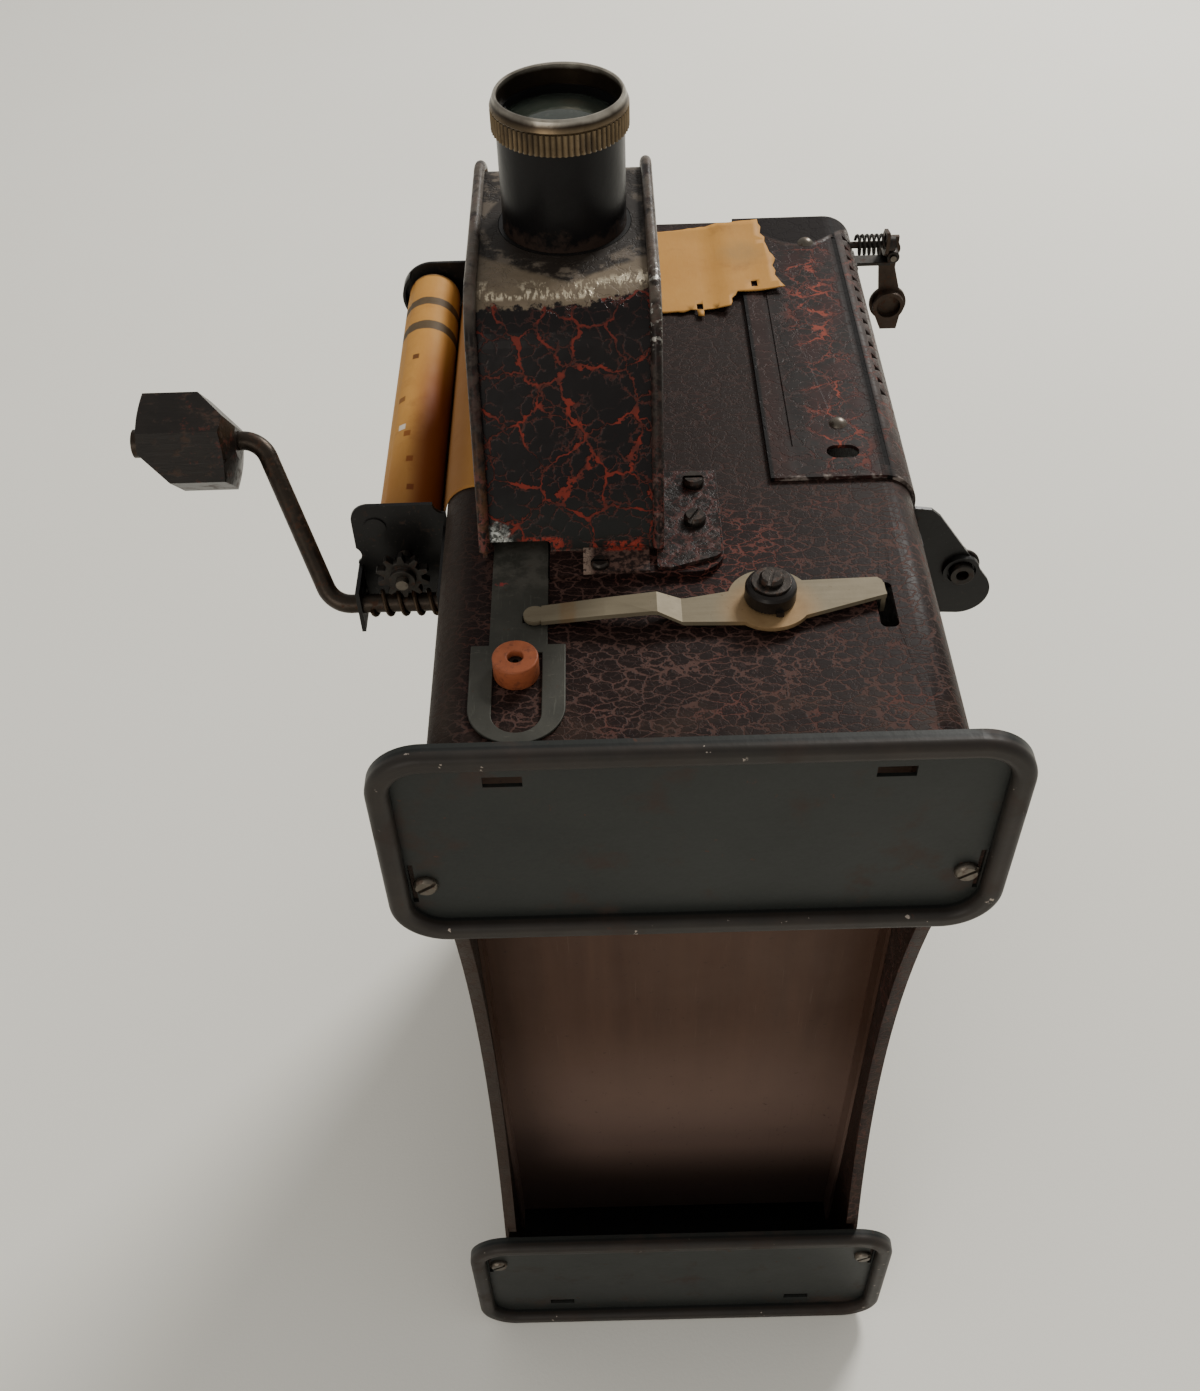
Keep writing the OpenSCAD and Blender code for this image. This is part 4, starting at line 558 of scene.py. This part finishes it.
def floor_plate(name):
    """Unpainted floor panel, gone brown and streaky, with painted light towards the back."""
    f = Finish(name)
    streaks = f.noise(6.0, 5.0, 0.6, stretch=(1.0, 1.0, 0.07))
    base = f.mix(streaks, (0.044, 0.021, 0.013), (0.096, 0.049, 0.031))
    cloud = f.spots(0.36, 0.66, 38.0, 3.0)
    base = f.mix(f.both(cloud, 0.5), base, (0.076, 0.041, 0.027))
    # Painted light: lighter towards the back, where the panel lies in shade.
    base = f.mix(f.ramp("z", 150.0, 70.0), base, (0.19, 0.125, 0.100))
    spots = f.spots(0.64, 0.72, 2.2, 4.0, 0.7)
    colour = f.mix(f.both(spots, 0.5), base, (0.018, 0.010, 0.008))
    scratch = f.spots(0.68, 0.74, 0.7, 2.0, stretch=(1.0, 1.0, 0.03))
    colour = f.over(colour, (0.13, 0.085, 0.062), scratch, 0.3)
    bump = f.relief(f.noise(5.0, 4.0, stretch=(1.0, 1.0, 0.3)), 0.12, 0.5)
    return f.done(colour, f.level(f.noise(12.0), 0.42, 0.62), 0.25, bump)


def steel(name, light, dark, rust, rough, metal):
    """Old bare steel, blotchy between two colours, with rust in spots."""
    f = Finish(name)
    colour = f.mix(f.noise(3.5, 4.0), dark, light)
    spots = f.spots(0.52, 0.66, 1.9, 5.0, 0.68)
    colour = f.over(colour, RUST, spots, rust)
    bump = f.relief(f.noise(0.9, 4.0), 0.07, 0.7)
    return f.done(colour, f.level(spots, f.level(f.noise(2.4), rough - 0.08, rough + 0.10), 0.7),
                  f.level(f.both(spots, rust), metal, 0.1), bump)


def strap_steel(name):
    """The shutter strap: blued steel gone grey-green, with faint scratches and one red mark."""
    f = Finish(name)
    colour = f.mix(f.noise(7.0, 4.0), (0.034, 0.034, 0.028), (0.074, 0.072, 0.060))
    dusty = f.both(f.ramp("y", 44.0, 56.0), f.spots(0.40, 0.62, 4.0, 4.0, 0.62))
    colour = f.over(colour, (0.120, 0.112, 0.095), dusty, 0.6)
    scratch = f.spots(0.62, 0.70, 0.6, 3.0, stretch=(1.0, 0.10, 1.0))
    colour = f.over(colour, (0.12, 0.12, 0.10), scratch, 0.3)
    scuff = f.spots(0.62, 0.70, 1.2, 3.0, 0.6, stretch=(0.35, 1.0, 1.0))
    colour = f.over(colour, (0.13, 0.12, 0.10), scuff, 0.35)
    rust = f.spots(0.64, 0.72, 2.6, 4.0, 0.66)
    colour = f.over(colour, (0.075, 0.036, 0.021), rust, 0.5)
    mark = f.both(f.near(-41.6, 52.3, 0.8, 1.0, 2.2), f.spots(0.40, 0.5, 0.8, 3.0))
    colour = f.mix(mark, colour, (0.30, 0.055, 0.050))
    rough = f.level(f.noise(5.0), 0.42, 0.58)
    return f.done(colour, rough, 0.35, f.relief(f.noise(1.2, 4.0), 0.06, 0.6))


def lever_plate(name):
    """The lever: worn nickel, yellowed round its eye."""
    f = Finish(name)
    silk = f.noise(1.3, 3.0, stretch=(0.08, 1.0, 1.0))
    base = f.mix(silk, (0.150, 0.124, 0.080), (0.228, 0.194, 0.132))
    ring = f.near(*LEVER_AXIS, 5.0, 8.5)
    gold = f.mix(f.noise(3.0, 3.0), (0.21, 0.125, 0.055), (0.34, 0.225, 0.110))
    colour = f.mix(ring, base, gold)
    end = f.both(f.within("x", -28.5, -25.0, 0.8), f.level(f.noise(2.0), 0.2, 0.9))
    colour = f.mix(end, colour, (0.20, 0.125, 0.060))
    spots = f.spots(0.62, 0.72, 1.3, 4.0, 0.7)
    colour = f.over(colour, (0.13, 0.085, 0.045), spots, 0.5)
    bump = f.relief(silk, 0.03, 0.6, f.relief(f.noise(2.4, 4.0), 0.06, 0.6))
    return f.done(colour, f.level(spots, f.level(f.noise(4.0), 0.50, 0.62), 0.7), 0.35, bump)


def bakelite(name):
    f = Finish(name)
    colour = f.mix(f.noise(2.5, 3.0), (0.0075, 0.0060, 0.0055), (0.020, 0.0155, 0.0130))
    dust = f.spots(0.64, 0.72, 0.6, 3.0)
    colour = f.over(colour, (0.08, 0.06, 0.045), dust, 0.3)
    return f.done(colour, f.level(f.noise(2.0), 0.26, 0.42), normal=f.relief(f.noise(0.8, 3.0), 0.04, 0.6))


def fibre(name):
    """Red vulcanised fibre of the guide roller: faint layers and grime in the low places."""
    f = Finish(name)
    layers = f.noise(0.5, 3.0, stretch=(0.2, 0.2, 1.0))
    colour = f.mix(layers, (0.20, 0.052, 0.020), (0.36, 0.105, 0.042))
    grime = f.spots(0.50, 0.68, 1.6, 4.0, 0.65)
    colour = f.over(colour, (0.10, 0.030, 0.016), grime, 0.55)
    return f.done(colour, f.level(grime, 0.44, 0.62), normal=f.relief(f.noise(0.6, 4.0), 0.06, 0.7))


def knob_wood(name):
    """Turned wood with nearly all its black paint, red-brown along the edges."""
    f = Finish(name)
    grain = f.noise(1.6, 4.0, 0.6, stretch=(0.12, 1.0, 1.0))
    wood = f.mix(grain, (0.034, 0.019, 0.012), (0.070, 0.040, 0.027))
    paint = f.mix(f.noise(5.0, 3.0), (0.0080, 0.0068, 0.0060), (0.019, 0.0145, 0.0115))
    gone = f.step(f.frayed(f.both(grain, 0.4), 0.8, 4.2, 4.0, 0.66), 0.62, 0.76)
    colour = f.mix(f.both(gone, 0.7), paint, wood)
    red = f.both(f.spots(0.56, 0.68, 2.8, 4.0, 0.7), f.ramp("x", -126.0, -116.0))
    colour = f.over(colour, (0.11, 0.026, 0.018), red, 0.6)
    bump = f.relief(grain, 0.12, 0.6)
    bump = f.relief(f.inverse(gone), 0.08, 0.5, bump)
    return f.done(colour, f.level(gone, 0.34, 0.56), normal=bump, specular=0.2)


def ring_brass(name):
    """The knurled ring: bronze with dark grooves, and a rubbed silvery lip."""
    f = Finish(name)
    dx = f.math("SUBTRACT", f.axis["x"], LENS_AXIS[0])
    dy = f.math("SUBTRACT", f.axis["y"], LENS_AXIS[1])
    radius = f.span(dx, dy)
    colour = f.mix(f.noise(2.2, 4.0), (0.105, 0.072, 0.038), (0.215, 0.160, 0.095))
    groove = f.step(radius, 14.95, 14.55)
    colour = f.over(colour, (0.026, 0.018, 0.012), groove, 0.9)
    lip = f.step(f.frayed(f.axis["z"], 0.8, 4.0), 389.0, 390.0)
    silver = f.mix(f.noise(2.4, 3.0), (0.20, 0.175, 0.14), (0.58, 0.54, 0.46))
    colour = f.mix(lip, colour, silver)
    dark = f.spots(0.52, 0.40, 11.0, 1.0)
    colour = f.over(colour, (0.030, 0.022, 0.016), dark, 0.5)
    spots = f.spots(0.60, 0.70, 1.2, 4.0, 0.7)
    colour = f.over(colour, (0.055, 0.034, 0.020), spots, 0.6)
    return f.done(colour, f.level(spots, 0.34, 0.6), 0.8, f.relief(f.noise(0.8, 3.0), 0.05, 0.6))


def plain_brass(name):
    f = Finish(name)
    colour = f.mix(f.noise(2.0, 4.0), (0.20, 0.13, 0.055), (0.42, 0.31, 0.15))
    return f.done(colour, f.level(f.noise(1.5, 3.0), 0.3, 0.5), 0.9, f.relief(f.noise(0.7, 3.0), 0.04, 0.5))


def reflector_metal(name):
    f = Finish(name)
    rings = f.noise(0.9, 3.0, stretch=(1.0, 1.0, 0.2))
    colour = f.mix(rings, (0.55, 0.54, 0.51), (0.78, 0.77, 0.74))
    sheen_colour = f.spots(0.5, 0.7, 8.0, 4.0)
    colour = f.over(colour, (0.36, 0.33, 0.28), sheen_colour, 0.4)
    return f.done(colour, f.level(sheen_colour, 0.14, 0.36), 0.95, f.relief(rings, 0.02, 0.5))


def porcelain(name):
    f = Finish(name)
    colour = f.mix(f.noise(6.0, 3.0), (0.52, 0.49, 0.42), (0.66, 0.63, 0.57))
    crack = f.step(f.seams(4.0, f.pushed(2.0, 2.0)), 0.03, 0.0)
    colour = f.over(colour, (0.25, 0.20, 0.15), crack, 0.3)
    return f.done(colour, f.level(f.noise(5.0), 0.18, 0.34), normal=f.relief(f.noise(3.0, 2.0), 0.05, 0.4))


def card(name):
    f = Finish(name)
    colour = f.mix(f.noise(1.0, 4.0, stretch=(1.0, 0.3, 1.0)), (0.26, 0.17, 0.09), (0.42, 0.30, 0.18))
    return f.done(colour, 0.85, normal=f.relief(f.noise(0.6, 4.0), 0.06, 0.6))


def lens_glass(name, tint):
    """Old glass of one tint, with a dusty face."""
    f = Finish(name)
    dust = f.spots(0.48, 0.78, 1.5, 5.0, 0.7)
    f.shader.inputs["Transmission Weight"].default_value = 0.85
    f.shader.inputs["IOR"].default_value = 1.5
    colour = f.mix(f.both(dust, 0.5), tint, (0.45, 0.44, 0.38))
    return f.done(colour, f.level(dust, 0.03, 0.24), specular=0.5)


# Film holes that show through the outer turn of the roll: place in x and y, and colour. Their colours are
# painted shade of what lies below, and in one the pale background seen through.
HOLE_MARKS = (
    (-69.9, 160.1, (0.10, 0.030, 0.006)),
    (-72.4, 141.0, (0.22, 0.085, 0.018)),
    (-71.3, 127.9, (0.80, 0.74, 0.62)),
    (-69.7, 124.6, (0.27, 0.080, 0.012)),
    (-68.2, 113.6, (0.25, 0.065, 0.009)),
    (-67.2, 102.0, (0.19, 0.045, 0.007)),
)


def roll_marks(f, colour):
    """Marks of the roll: two dark stripes, film holes, a redder tone and painted shade."""
    # Redder and darker towards the lower end, and painted shade down the right side, where the web lies
    # behind.
    redder_and_shaded = f.both(f.ramp("x", -71.0, -63.5), f.ramp("y", 180.0, 138.0))
    redder_and_shaded = f.either(redder_and_shaded, f.both(f.ramp("y", 128.0, 96.0), 0.35))
    colour = f.over(colour, (0.21, 0.048, 0.008), redder_and_shaded, 0.95)
    dark = f.mix(f.noise(1.6, 4.0), (0.030, 0.029, 0.022), (0.085, 0.070, 0.045))
    ragged = f.frayed(f.axis["y"], 0.8, 2.0, 4.0)
    for low, high in ((186.6, 190.4), (173.8, 178.0)):
        band = f.both(f.step(ragged, low + 0.15, low + 0.65), f.step(ragged, high + 0.65, high + 0.15))
        colour = f.over(colour, dark, band, 0.9)
    top = f.ramp("z", ROLL[1], ROLL[1] + 2.0)
    # Painted holes: shade in the darker ones, the pale background in the palest.
    for x, y, tint in HOLE_MARKS:
        mark = f.both(f.within("x", x - 0.9, x + 0.9, 0.2), f.within("y", y - 1.15, y + 1.15, 0.2), top)
        colour = f.over(colour, tint, mark, 0.9)
    return colour


def leaf_marks(f, colour):
    """Marks of the free film: a smudge by its torn end, and shade where it turns over the case."""
    smudge = f.both(f.near(23.0, 189.0, 1.5, 8.0), f.level(f.noise(4.0, 3.0), 0.2, 1.0))
    colour = f.over(colour, (0.22, 0.165, 0.080), smudge, 0.6)
    turned = f.ramp("x", -47.0, -54.0)
    return f.over(colour, (0.20, 0.080, 0.022), turned, 0.75)


def film_paper(name, marks):
    """Waxed paper: orange-tan with paler fibres and soaked patches, and marks that a function adds."""
    f = Finish(name)
    colour = f.mix(f.noise(16.0, 4.0), (0.47, 0.205, 0.036), (0.60, 0.300, 0.068))
    fibres = f.noise(0.8, 4.0, 0.6, stretch=(1.0, 0.22, 1.0))
    colour = f.over(colour, (0.68, 0.41, 0.14), fibres, 0.25)
    stain = f.spots(0.56, 0.74, 9.0, 4.0, 0.62)
    colour = marks(f, f.over(colour, (0.30, 0.125, 0.030), stain, 0.35))
    bump = f.relief(fibres, 0.05, 0.5)
    bump = f.relief(f.noise(12.0, 3.0), 0.5, 0.35, bump)
    return f.done(colour, f.level(f.noise(5.0), 0.50, 0.68), normal=bump, specular=0.16)


def paper_ends(name):
    """Wound edges of the roll, darker with handling."""
    f = Finish(name)
    dx = f.math("SUBTRACT", f.axis["x"], ROLL[0])
    dz = f.math("SUBTRACT", f.axis["z"], ROLL[1])
    layers = f.math("PINGPONG", f.frayed(f.span(dx, dz), 0.3, 4.0), 0.16)
    colour = f.mix(f.step(layers, 0.03, 0.12), (0.16, 0.085, 0.035), (0.50, 0.32, 0.15))
    return f.done(colour, 0.8, normal=f.relief(layers, 0.1, 0.6))


def pale_floor(name):
    f = Finish(name)
    colour = f.mix(f.noise(240.0, 3.0), (0.88, 0.86, 0.775), (0.93, 0.915, 0.85))
    weave = f.noise(1.2, 2.0)
    return f.done(colour, 0.9, normal=f.relief(weave, 0.2, 0.25))


# For each material the nodes that wear it, the function that makes it, and its settings. Those of steel
# are its light and dark colour, its rust, its roughness and how metallic it is.
FINISHES = {
    "case_enamel": ("main_shell lens_box_base", case_enamel),
    "box_enamel": ("lens_box_strip", box_enamel),
    "cover_enamel": ("lamp_cover", cover_enamel),
    "worn_enamel": ("lens_box_left_plate lens_box_right_plate", worn_enamel),
    "black_enamel": ("top_panel rear_cover lens_collar left_bracket upper_left_bracket right_bracket",
                     black_enamel),
    "tube_enamel": ("lens_tube", tube_enamel),
    "foot_enamel": ("front_foot rear_foot", foot_enamel),
    "floor_plate": ("underside_panel", floor_plate),
    "strap_steel": ("shutter_strap", strap_steel),
    "dark_steel": ("worm_wheel shaft_collar retainer_base retainer_spring retainer_screw supply_seat",
                   steel, (0.055, 0.050, 0.044), (0.014, 0.012, 0.011), 0.35, 0.40, 0.75),
    "worm_steel": ("worm", steel, (0.10, 0.066, 0.040), (0.020, 0.014, 0.010), 0.5, 0.38, 0.75),
    "old_steel": ("foot_screws foot_nuts cover_rivets take_up_spindle retainer_pin socket_bracket "
                  "reflector_bracket condenser_holder",
                  steel, (0.21, 0.185, 0.15), (0.060, 0.050, 0.042), 0.35, 0.36, 0.85),
    "screw_steel": ("lens_box_screws roller_pin lever_washer lever_screw bracket_rivets",
                    steel, (0.070, 0.060, 0.052), (0.014, 0.012, 0.011), 0.4, 0.34, 0.8),
    "rusty_steel": ("retainer_arm", steel, (0.085, 0.058, 0.042), (0.026, 0.018, 0.013), 0.7, 0.48, 0.6),
    "crank_steel": ("crank_wire", steel, (0.060, 0.046, 0.034), (0.013, 0.010, 0.008), 0.45, 0.36, 0.7),
    "lever_plate": ("rocker_lever", lever_plate),
    "bakelite": ("lever_bush cable_bush", bakelite),
    "fibre": ("strap_roller", fibre),
    "knob_wood": ("crank_knob", knob_wood),
    "ring_brass": ("lens_ring", ring_brass),
    "plain_brass": ("shaft_bush", plain_brass),
    "reflector_metal": ("reflector", reflector_metal),
    "porcelain": ("lamp_socket", porcelain),
    "card": ("spool_core", card),
    "lens_glass": ("front_lens rear_lens", lens_glass, (0.16, 0.20, 0.16)),
    "clear_glass": ("lamp_bulb condenser_lens", lens_glass, (0.72, 0.76, 0.72)),
}


def dress_nodes():
    for name, (wearers, finish, *settings) in FINISHES.items():
        material = finish(name, *settings)
        for wearer in wearers.split():
            mesh = nodes[wearer].data
            mesh.materials.clear()
            mesh.materials.append(material)
            for face in mesh.polygons:
                face.material_index = 0


def soften_edges():
    """Small rounds on the edges, in millimetres, so that they catch the light."""
    widths = {
        0.15: "lamp_cover worm_wheel lever_washer",
        0.2: "shutter_strap lens_box_screws foot_screws retainer_base supply_seat",
        0.25: "rocker_lever lever_screw retainer_arm",
        0.3: "lens_box_base left_bracket upper_left_bracket right_bracket",
        0.35: "main_shell strap_roller",
        0.7: "crank_knob",
    }
    for width, names in widths.items():
        for name in names.split():
            weld = nodes[name].modifiers.new("weld", "WELD")
            weld.merge_threshold = 0.000002
            bevel = nodes[name].modifiers.new("soft_edges", "BEVEL")
            bevel.width = width * MM
            bevel.segments = 2
            bevel.limit_method = "ANGLE"
            bevel.angle_limit = math.radians(50)
            bevel.harden_normals = True


# Paper film

PAPER_T = 0.22
# Radii of the film's middle line, round the roll and round the corner of the case.
WEB_OUT = 8.425
WEB_IN = 8.375
# Number of points of that line round the roll, and then round the corner.
WEB_POINTS = 9
CORNER_POINTS = 13
# Half the width and half the height of a film hole.
HOLE = (0.85, 1.5)
# The torn end from the lower edge round to the upper one, in x and height. A small tag hangs at x = 9.
TORN_END = (
    (3.4, 161.0), (5.0, 160.6), (7.0, 161.4), (8.8, 161.3), (9.0, 158.4), (10.6, 158.2), (10.8, 161.4),
    (18.2, 161.2), (18.7, 163.0), (19.0, 165.5), (19.8, 166.7), (20.6, 168.8), (27.0, 168.6),
    (34.0, 169.4), (33.2, 171.5), (31.8, 176.0), (32.2, 178.3), (31.4, 181.0), (32.6, 184.5),
    (31.2, 188.0), (31.0, 191.0), (30.2, 194.0), (30.6, 196.5), (29.5, 199.0), (29.9, 202.0),
    (29.0, 205.5), (25.0, 205.6), (21.0, 204.9), (12.0, 205.0), (4.0, 204.0),
)


def film_path():
    """Middle line of the free film in x and z: from under the roll, behind it, and over the front."""
    corner = (-HALF_W + CORNER_R, CASE_D - CORNER_R)
    reach = (ROLL[0] - corner[0], ROLL[1] - corner[1])
    between = math.acos((WEB_OUT + WEB_IN) / math.hypot(*reach))
    meet = math.atan2(reach[1], reach[0]) + 2 * math.pi - between
    points = []
    for i in range(WEB_POINTS):
        angle = meet - math.pi - math.radians(60) * (1 - i / (WEB_POINTS - 1))
        points.append((ROLL[0] + WEB_OUT * math.cos(angle), ROLL[1] + WEB_OUT * math.sin(angle)))
    for i in range(CORNER_POINTS):
        angle = meet + (math.pi / 2 - meet) * i / (CORNER_POINTS - 1)
        points.append((corner[0] + WEB_IN * math.cos(angle), corner[1] + WEB_IN * math.sin(angle)))
    flat, over_cover = CASE_D + 0.4, 1.28
    points.append((COVER_X - 9.0, flat))
    for i in range(1, 7):
        share = i / 6
        points.append((COVER_X - 9.0 + 5.0 * share, flat + over_cover * blend_over(share, 0, 1)))
    points.append((COVER_X + 14.0, flat + over_cover))
    return points


def length_of(points):
    return sum(math.dist(a, b) for a, b in zip(points, points[1:]))


def along(points, distance):
    """The point and the direction at a distance along the path."""
    for (x0, z0), (x1, z1) in zip(points, points[1:]):
        length = math.hypot(x1 - x0, z1 - z0)
        if distance <= length or (x1, z1) == points[-1]:
            share = distance / length
            ahead = ((x1 - x0) / length, (z1 - z0) / length)
            return (x0 + (x1 - x0) * share, z0 + (z1 - z0) * share), ahead
        distance -= length


def front_start(path):
    """Length of the path up to x = -40, which lies 8.7 mm past the end of the corner."""
    return length_of(path[:WEB_POINTS + CORNER_POINTS]) + 8.7


def torn_outline(across):
    """Outline of the free film laid flat: distance along the path, and height above the feet."""
    outline = [(0.0, FILM_LOW), (across(-8.5), FILM_LOW), (across(-5.5), 161.0)]
    outline += [(across(x), y) for x, y in TORN_END]
    outline += [(0.0, FILM_HIGH)]
    fine = []
    for i, (s, y) in enumerate(outline):
        s1, y1 = outline[(i + 1) % len(outline)]
        count = max(1, int(math.hypot(s1 - s, y1 - y) / 1.6))
        for k in range(count):
            t = k / count
            ragged = 0.0 if s + s1 < across(-2.0) or min(y, y1) < 160 else 0.22
            shift = noise.noise(Vector((s + (s1 - s) * t, y + (y1 - y) * t, 3.0)) * 0.9) * ragged * 2
            fine.append((s + (s1 - s) * t + shift, y + (y1 - y) * t + shift))
    return fine


def film_holes(path, across):
    """Middles of the holes laid flat. Those behind the roll are placed by their height over its middle."""
    holes = [(across(9.7), 163.0), (across(25.6), 172.4)]
    web, end = path[WEB_POINTS - 1:WEB_POINTS + 1]
    rolled = length_of(path[:WEB_POINTS])
    slope = math.dist(web, end) / (end[1] - web[1])
    for up, y in ((6.8, 106.0), (4.2, 122.0), (7.2, 140.0), (5.6, 159.0), (7.6, 178.0)):
        holes.append((rolled + (ROLL[1] + up - web[1]) * slope, y))
    return holes


def inside(px, py, loop):
    """True if the point lies within the closed outline."""
    odd = False
    for i, (ax, ay) in enumerate(loop):
        bx, by = loop[i - 1]
        if (ay > py) != (by > py) and px < (bx - ax) * (py - ay) / (by - ay) + ax:
            odd = not odd
    return odd


def flat_film(outline, holes, start, across):
    """Points and faces of the film laid flat, with its holes open. Its grid is finer round the roll."""
    fine_step, wide_step, row_step = 0.9, 2.4, 2.6
    points = list(outline)
    edges = [(i, (i + 1) % len(outline)) for i in range(len(outline))]
    for s, y in holes:
        first = len(points)
        for du, dv in ((-1, -1), (1, -1), (1, 1), (-1, 1)):
            points.append((s + du * HOLE[0], y + dv * HOLE[1]))
        edges += [(first + i, first + (i + 1) % 4) for i in range(4)]
    s = 0.8
    while s < across(35.0):
        y = FILM_LOW + 1.0
        while y < 206:
            points.append((s, y))
            y += row_step
        s += fine_step if s < start else wide_step
    flat, _, faces, _, _, _ = delaunay_2d_cdt([Vector(p) for p in points], edges, [], 0, 1e-5)
    kept = []
    for face in faces:
        cs = sum(flat[i][0] for i in face) / len(face)
        cy = sum(flat[i][1] for i in face) / len(face)
        in_hole = any(abs(cs - hs) < HOLE[0] and abs(cy - hy) < HOLE[1] for hs, hy in holes)
        if inside(cs, cy, outline) and not in_hole:
            kept.append(tuple(face))
    return flat, kept


def curled(path, s, y):
    """Where a point of the flat film lies: the torn end and the edges over the front lift a little."""
    (x, z), (tx, tz) = along(path, max(s, 0.0))
    free = blend_over(x, 24.0, 36.0)
    upper = blend_over(y, 198.0, 207.0) * blend_over(x, -6.0, 12.0)
    lower = blend_over(y, 167.0, 160.0) * blend_over(x, 0.0, 8.0)
    lift = 0.9 * free + 0.8 * upper + 0.35 * lower
    lift += 0.25 * blend_over(x, -30.0, 0.0) * (noise.noise(Vector((x, y, 0.0)) * 0.07) + 0.5)
    return place(x - tz * lift, y, z + tx * lift)


def film_leaf():
    """The free film, with its holes cut and its torn end curling off the cover."""
    path = film_path()
    start = front_start(path)

    def across(x):
        """Distance along the path of a place on the front."""
        return start + x + 40.0

    flat, kept = flat_film(torn_outline(across), film_holes(path, across), start, across)
    used = sorted({i for face in kept for i in face})
    new = {old: i for i, old in enumerate(used)}
    verts = [curled(path, *flat[i]) for i in used]
    mesh = bpy.data.meshes.new("film_leaf")
    mesh.from_pydata(verts, [], [tuple(new[i] for i in face) for face in kept])
    mesh.update()
    leaf = in_scene("film_leaf", mesh)
    mesh.materials.append(film_paper("leaf_paper", leaf_marks))
    for face in mesh.polygons:
        face.use_smooth = True
    thick = leaf.modifiers.new("paper", "SOLIDIFY")
    thick.thickness = PAPER_T * MM
    thick.offset = 0.0
    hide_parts("film_strip")
    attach(leaf, "case")


def paper_roll():
    """The wound film: slightly uneven, with stepped layers at its ends and a lapped outer edge."""
    rows, sides = 60, 96
    wound_r = 7.98
    verts, faces, end_faces, rings = [], [], [], []
    layers = [3.3 + 0.32 * i for i in range(15)]

    def ring(radius, y, lap):
        rings.append(len(verts))
        for k in range(sides):
            angle = 2 * math.pi * k / sides
            # The outer turn ends in a small step.
            step = lap * PAPER_T * (1 - k / sides)
            spot = Vector((math.cos(angle) * 1.5, math.sin(angle) * 1.5, y * 0.05))
            r = radius - step + 0.05 * noise.noise(spot) * lap
            verts.append(place(ROLL[0] + r * math.cos(angle + 2.4), y, ROLL[1] + r * math.sin(angle + 2.4)))

    for i, r in enumerate(layers):
        ring(r, FILM_LOW + 0.25 + 0.22 * (i % 2) - 0.2 * i / 14, 0.0)
    side_from = len(rings)
    for j in range(rows + 1):
        share = j / rows
        taper = 0.55 * blend_over(share, 0.90, 1.0)
        rounded = 0.25 if j in (0, rows) else 0.0
        y = FILM_LOW + 0.1 + (FILM_HIGH - FILM_LOW - 0.4) * share
        ring(wound_r - taper * 0.35 - rounded, y, 1.0)
    side_to = len(rings) - 1
    for i, r in enumerate(reversed(layers)):
        ring(r - 0.15, FILM_HIGH - 0.3 + 0.16 * (i % 2) - 0.9 * blend_over(r, 6.2, 8.2), 0.0)
    for n, (a, b) in enumerate(zip(rings, rings[1:])):
        for k in range(sides):
            face = (a + k, b + k, b + (k + 1) % sides, a + (k + 1) % sides)
            faces.append(face)
            end_faces.append(not side_from <= n < side_to)
    first, last = rings[0], rings[-1]
    for k in range(sides):
        faces.append((first + (k + 1) % sides, last + (k + 1) % sides, last + k, first + k))
        end_faces.append(True)
    mesh = bpy.data.meshes.new("film_wound")
    mesh.from_pydata(verts, [], faces)
    mesh.materials.append(film_paper("roll_paper", roll_marks))
    mesh.materials.append(paper_ends("paper_ends"))
    for face, end in zip(mesh.polygons, end_faces):
        face.material_index = 1 if end else 0
        face.use_smooth = not end
    mesh.update()
    roll = in_scene("film_wound", mesh)
    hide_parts("film_roll")
    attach(roll, "take_up")


def arm_spring():
    """The coil of the sprung arm, as a copy. It stays seated on the side of the cover."""
    mesh = nodes["retainer_spring"].data.copy()
    spring = in_scene("arm_spring", mesh)
    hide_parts("retainer_spring")
    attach(spring, "cover")
    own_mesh(spring)


# Stage

def add_stage():
    mesh = bpy.data.meshes.new("floor")
    reach = 4.0
    corners = [(-reach, -reach, 0), (reach, -reach, 0), (reach, reach, 0), (-reach, reach, 0)]
    mesh.from_pydata(corners, [], [(0, 1, 2, 3)])
    mesh.materials.append(pale_floor("pale_floor"))
    in_scene("floor", mesh)

    world = bpy.data.worlds.new("room")
    world.use_nodes = True
    background = world.node_tree.nodes["Background"]
    background.inputs["Color"].default_value = (1.0, 0.985, 0.955, 1.0)
    background.inputs["Strength"].default_value = 0.50
    bpy.context.scene.world = world

    def lamp(name, where, aim, power, width, colour):
        data = bpy.data.lights.new(name, "AREA")
        data.shape = "DISK"
        data.size = width
        data.energy = power
        data.color = colour
        light = in_scene(name, data)
        light.location = where
        light.rotation_euler = (Vector(aim) - Vector(where)).to_track_quat("-Z", "Y").to_euler()

    lamp("window", (0.95, 1.45, 1.45), (0.0, 0.0, 0.2), 42.0, 0.6, (1.0, 0.98, 0.94))
    lamp("room_side", (-0.7, -1.5, 0.8), (0.0, 0.0, 0.2), 7.0, 1.0, (1.0, 0.93, 0.84))


add_camera()
dress_nodes()
soften_edges()
film_leaf()
paper_roll()
arm_spring()
add_stage()
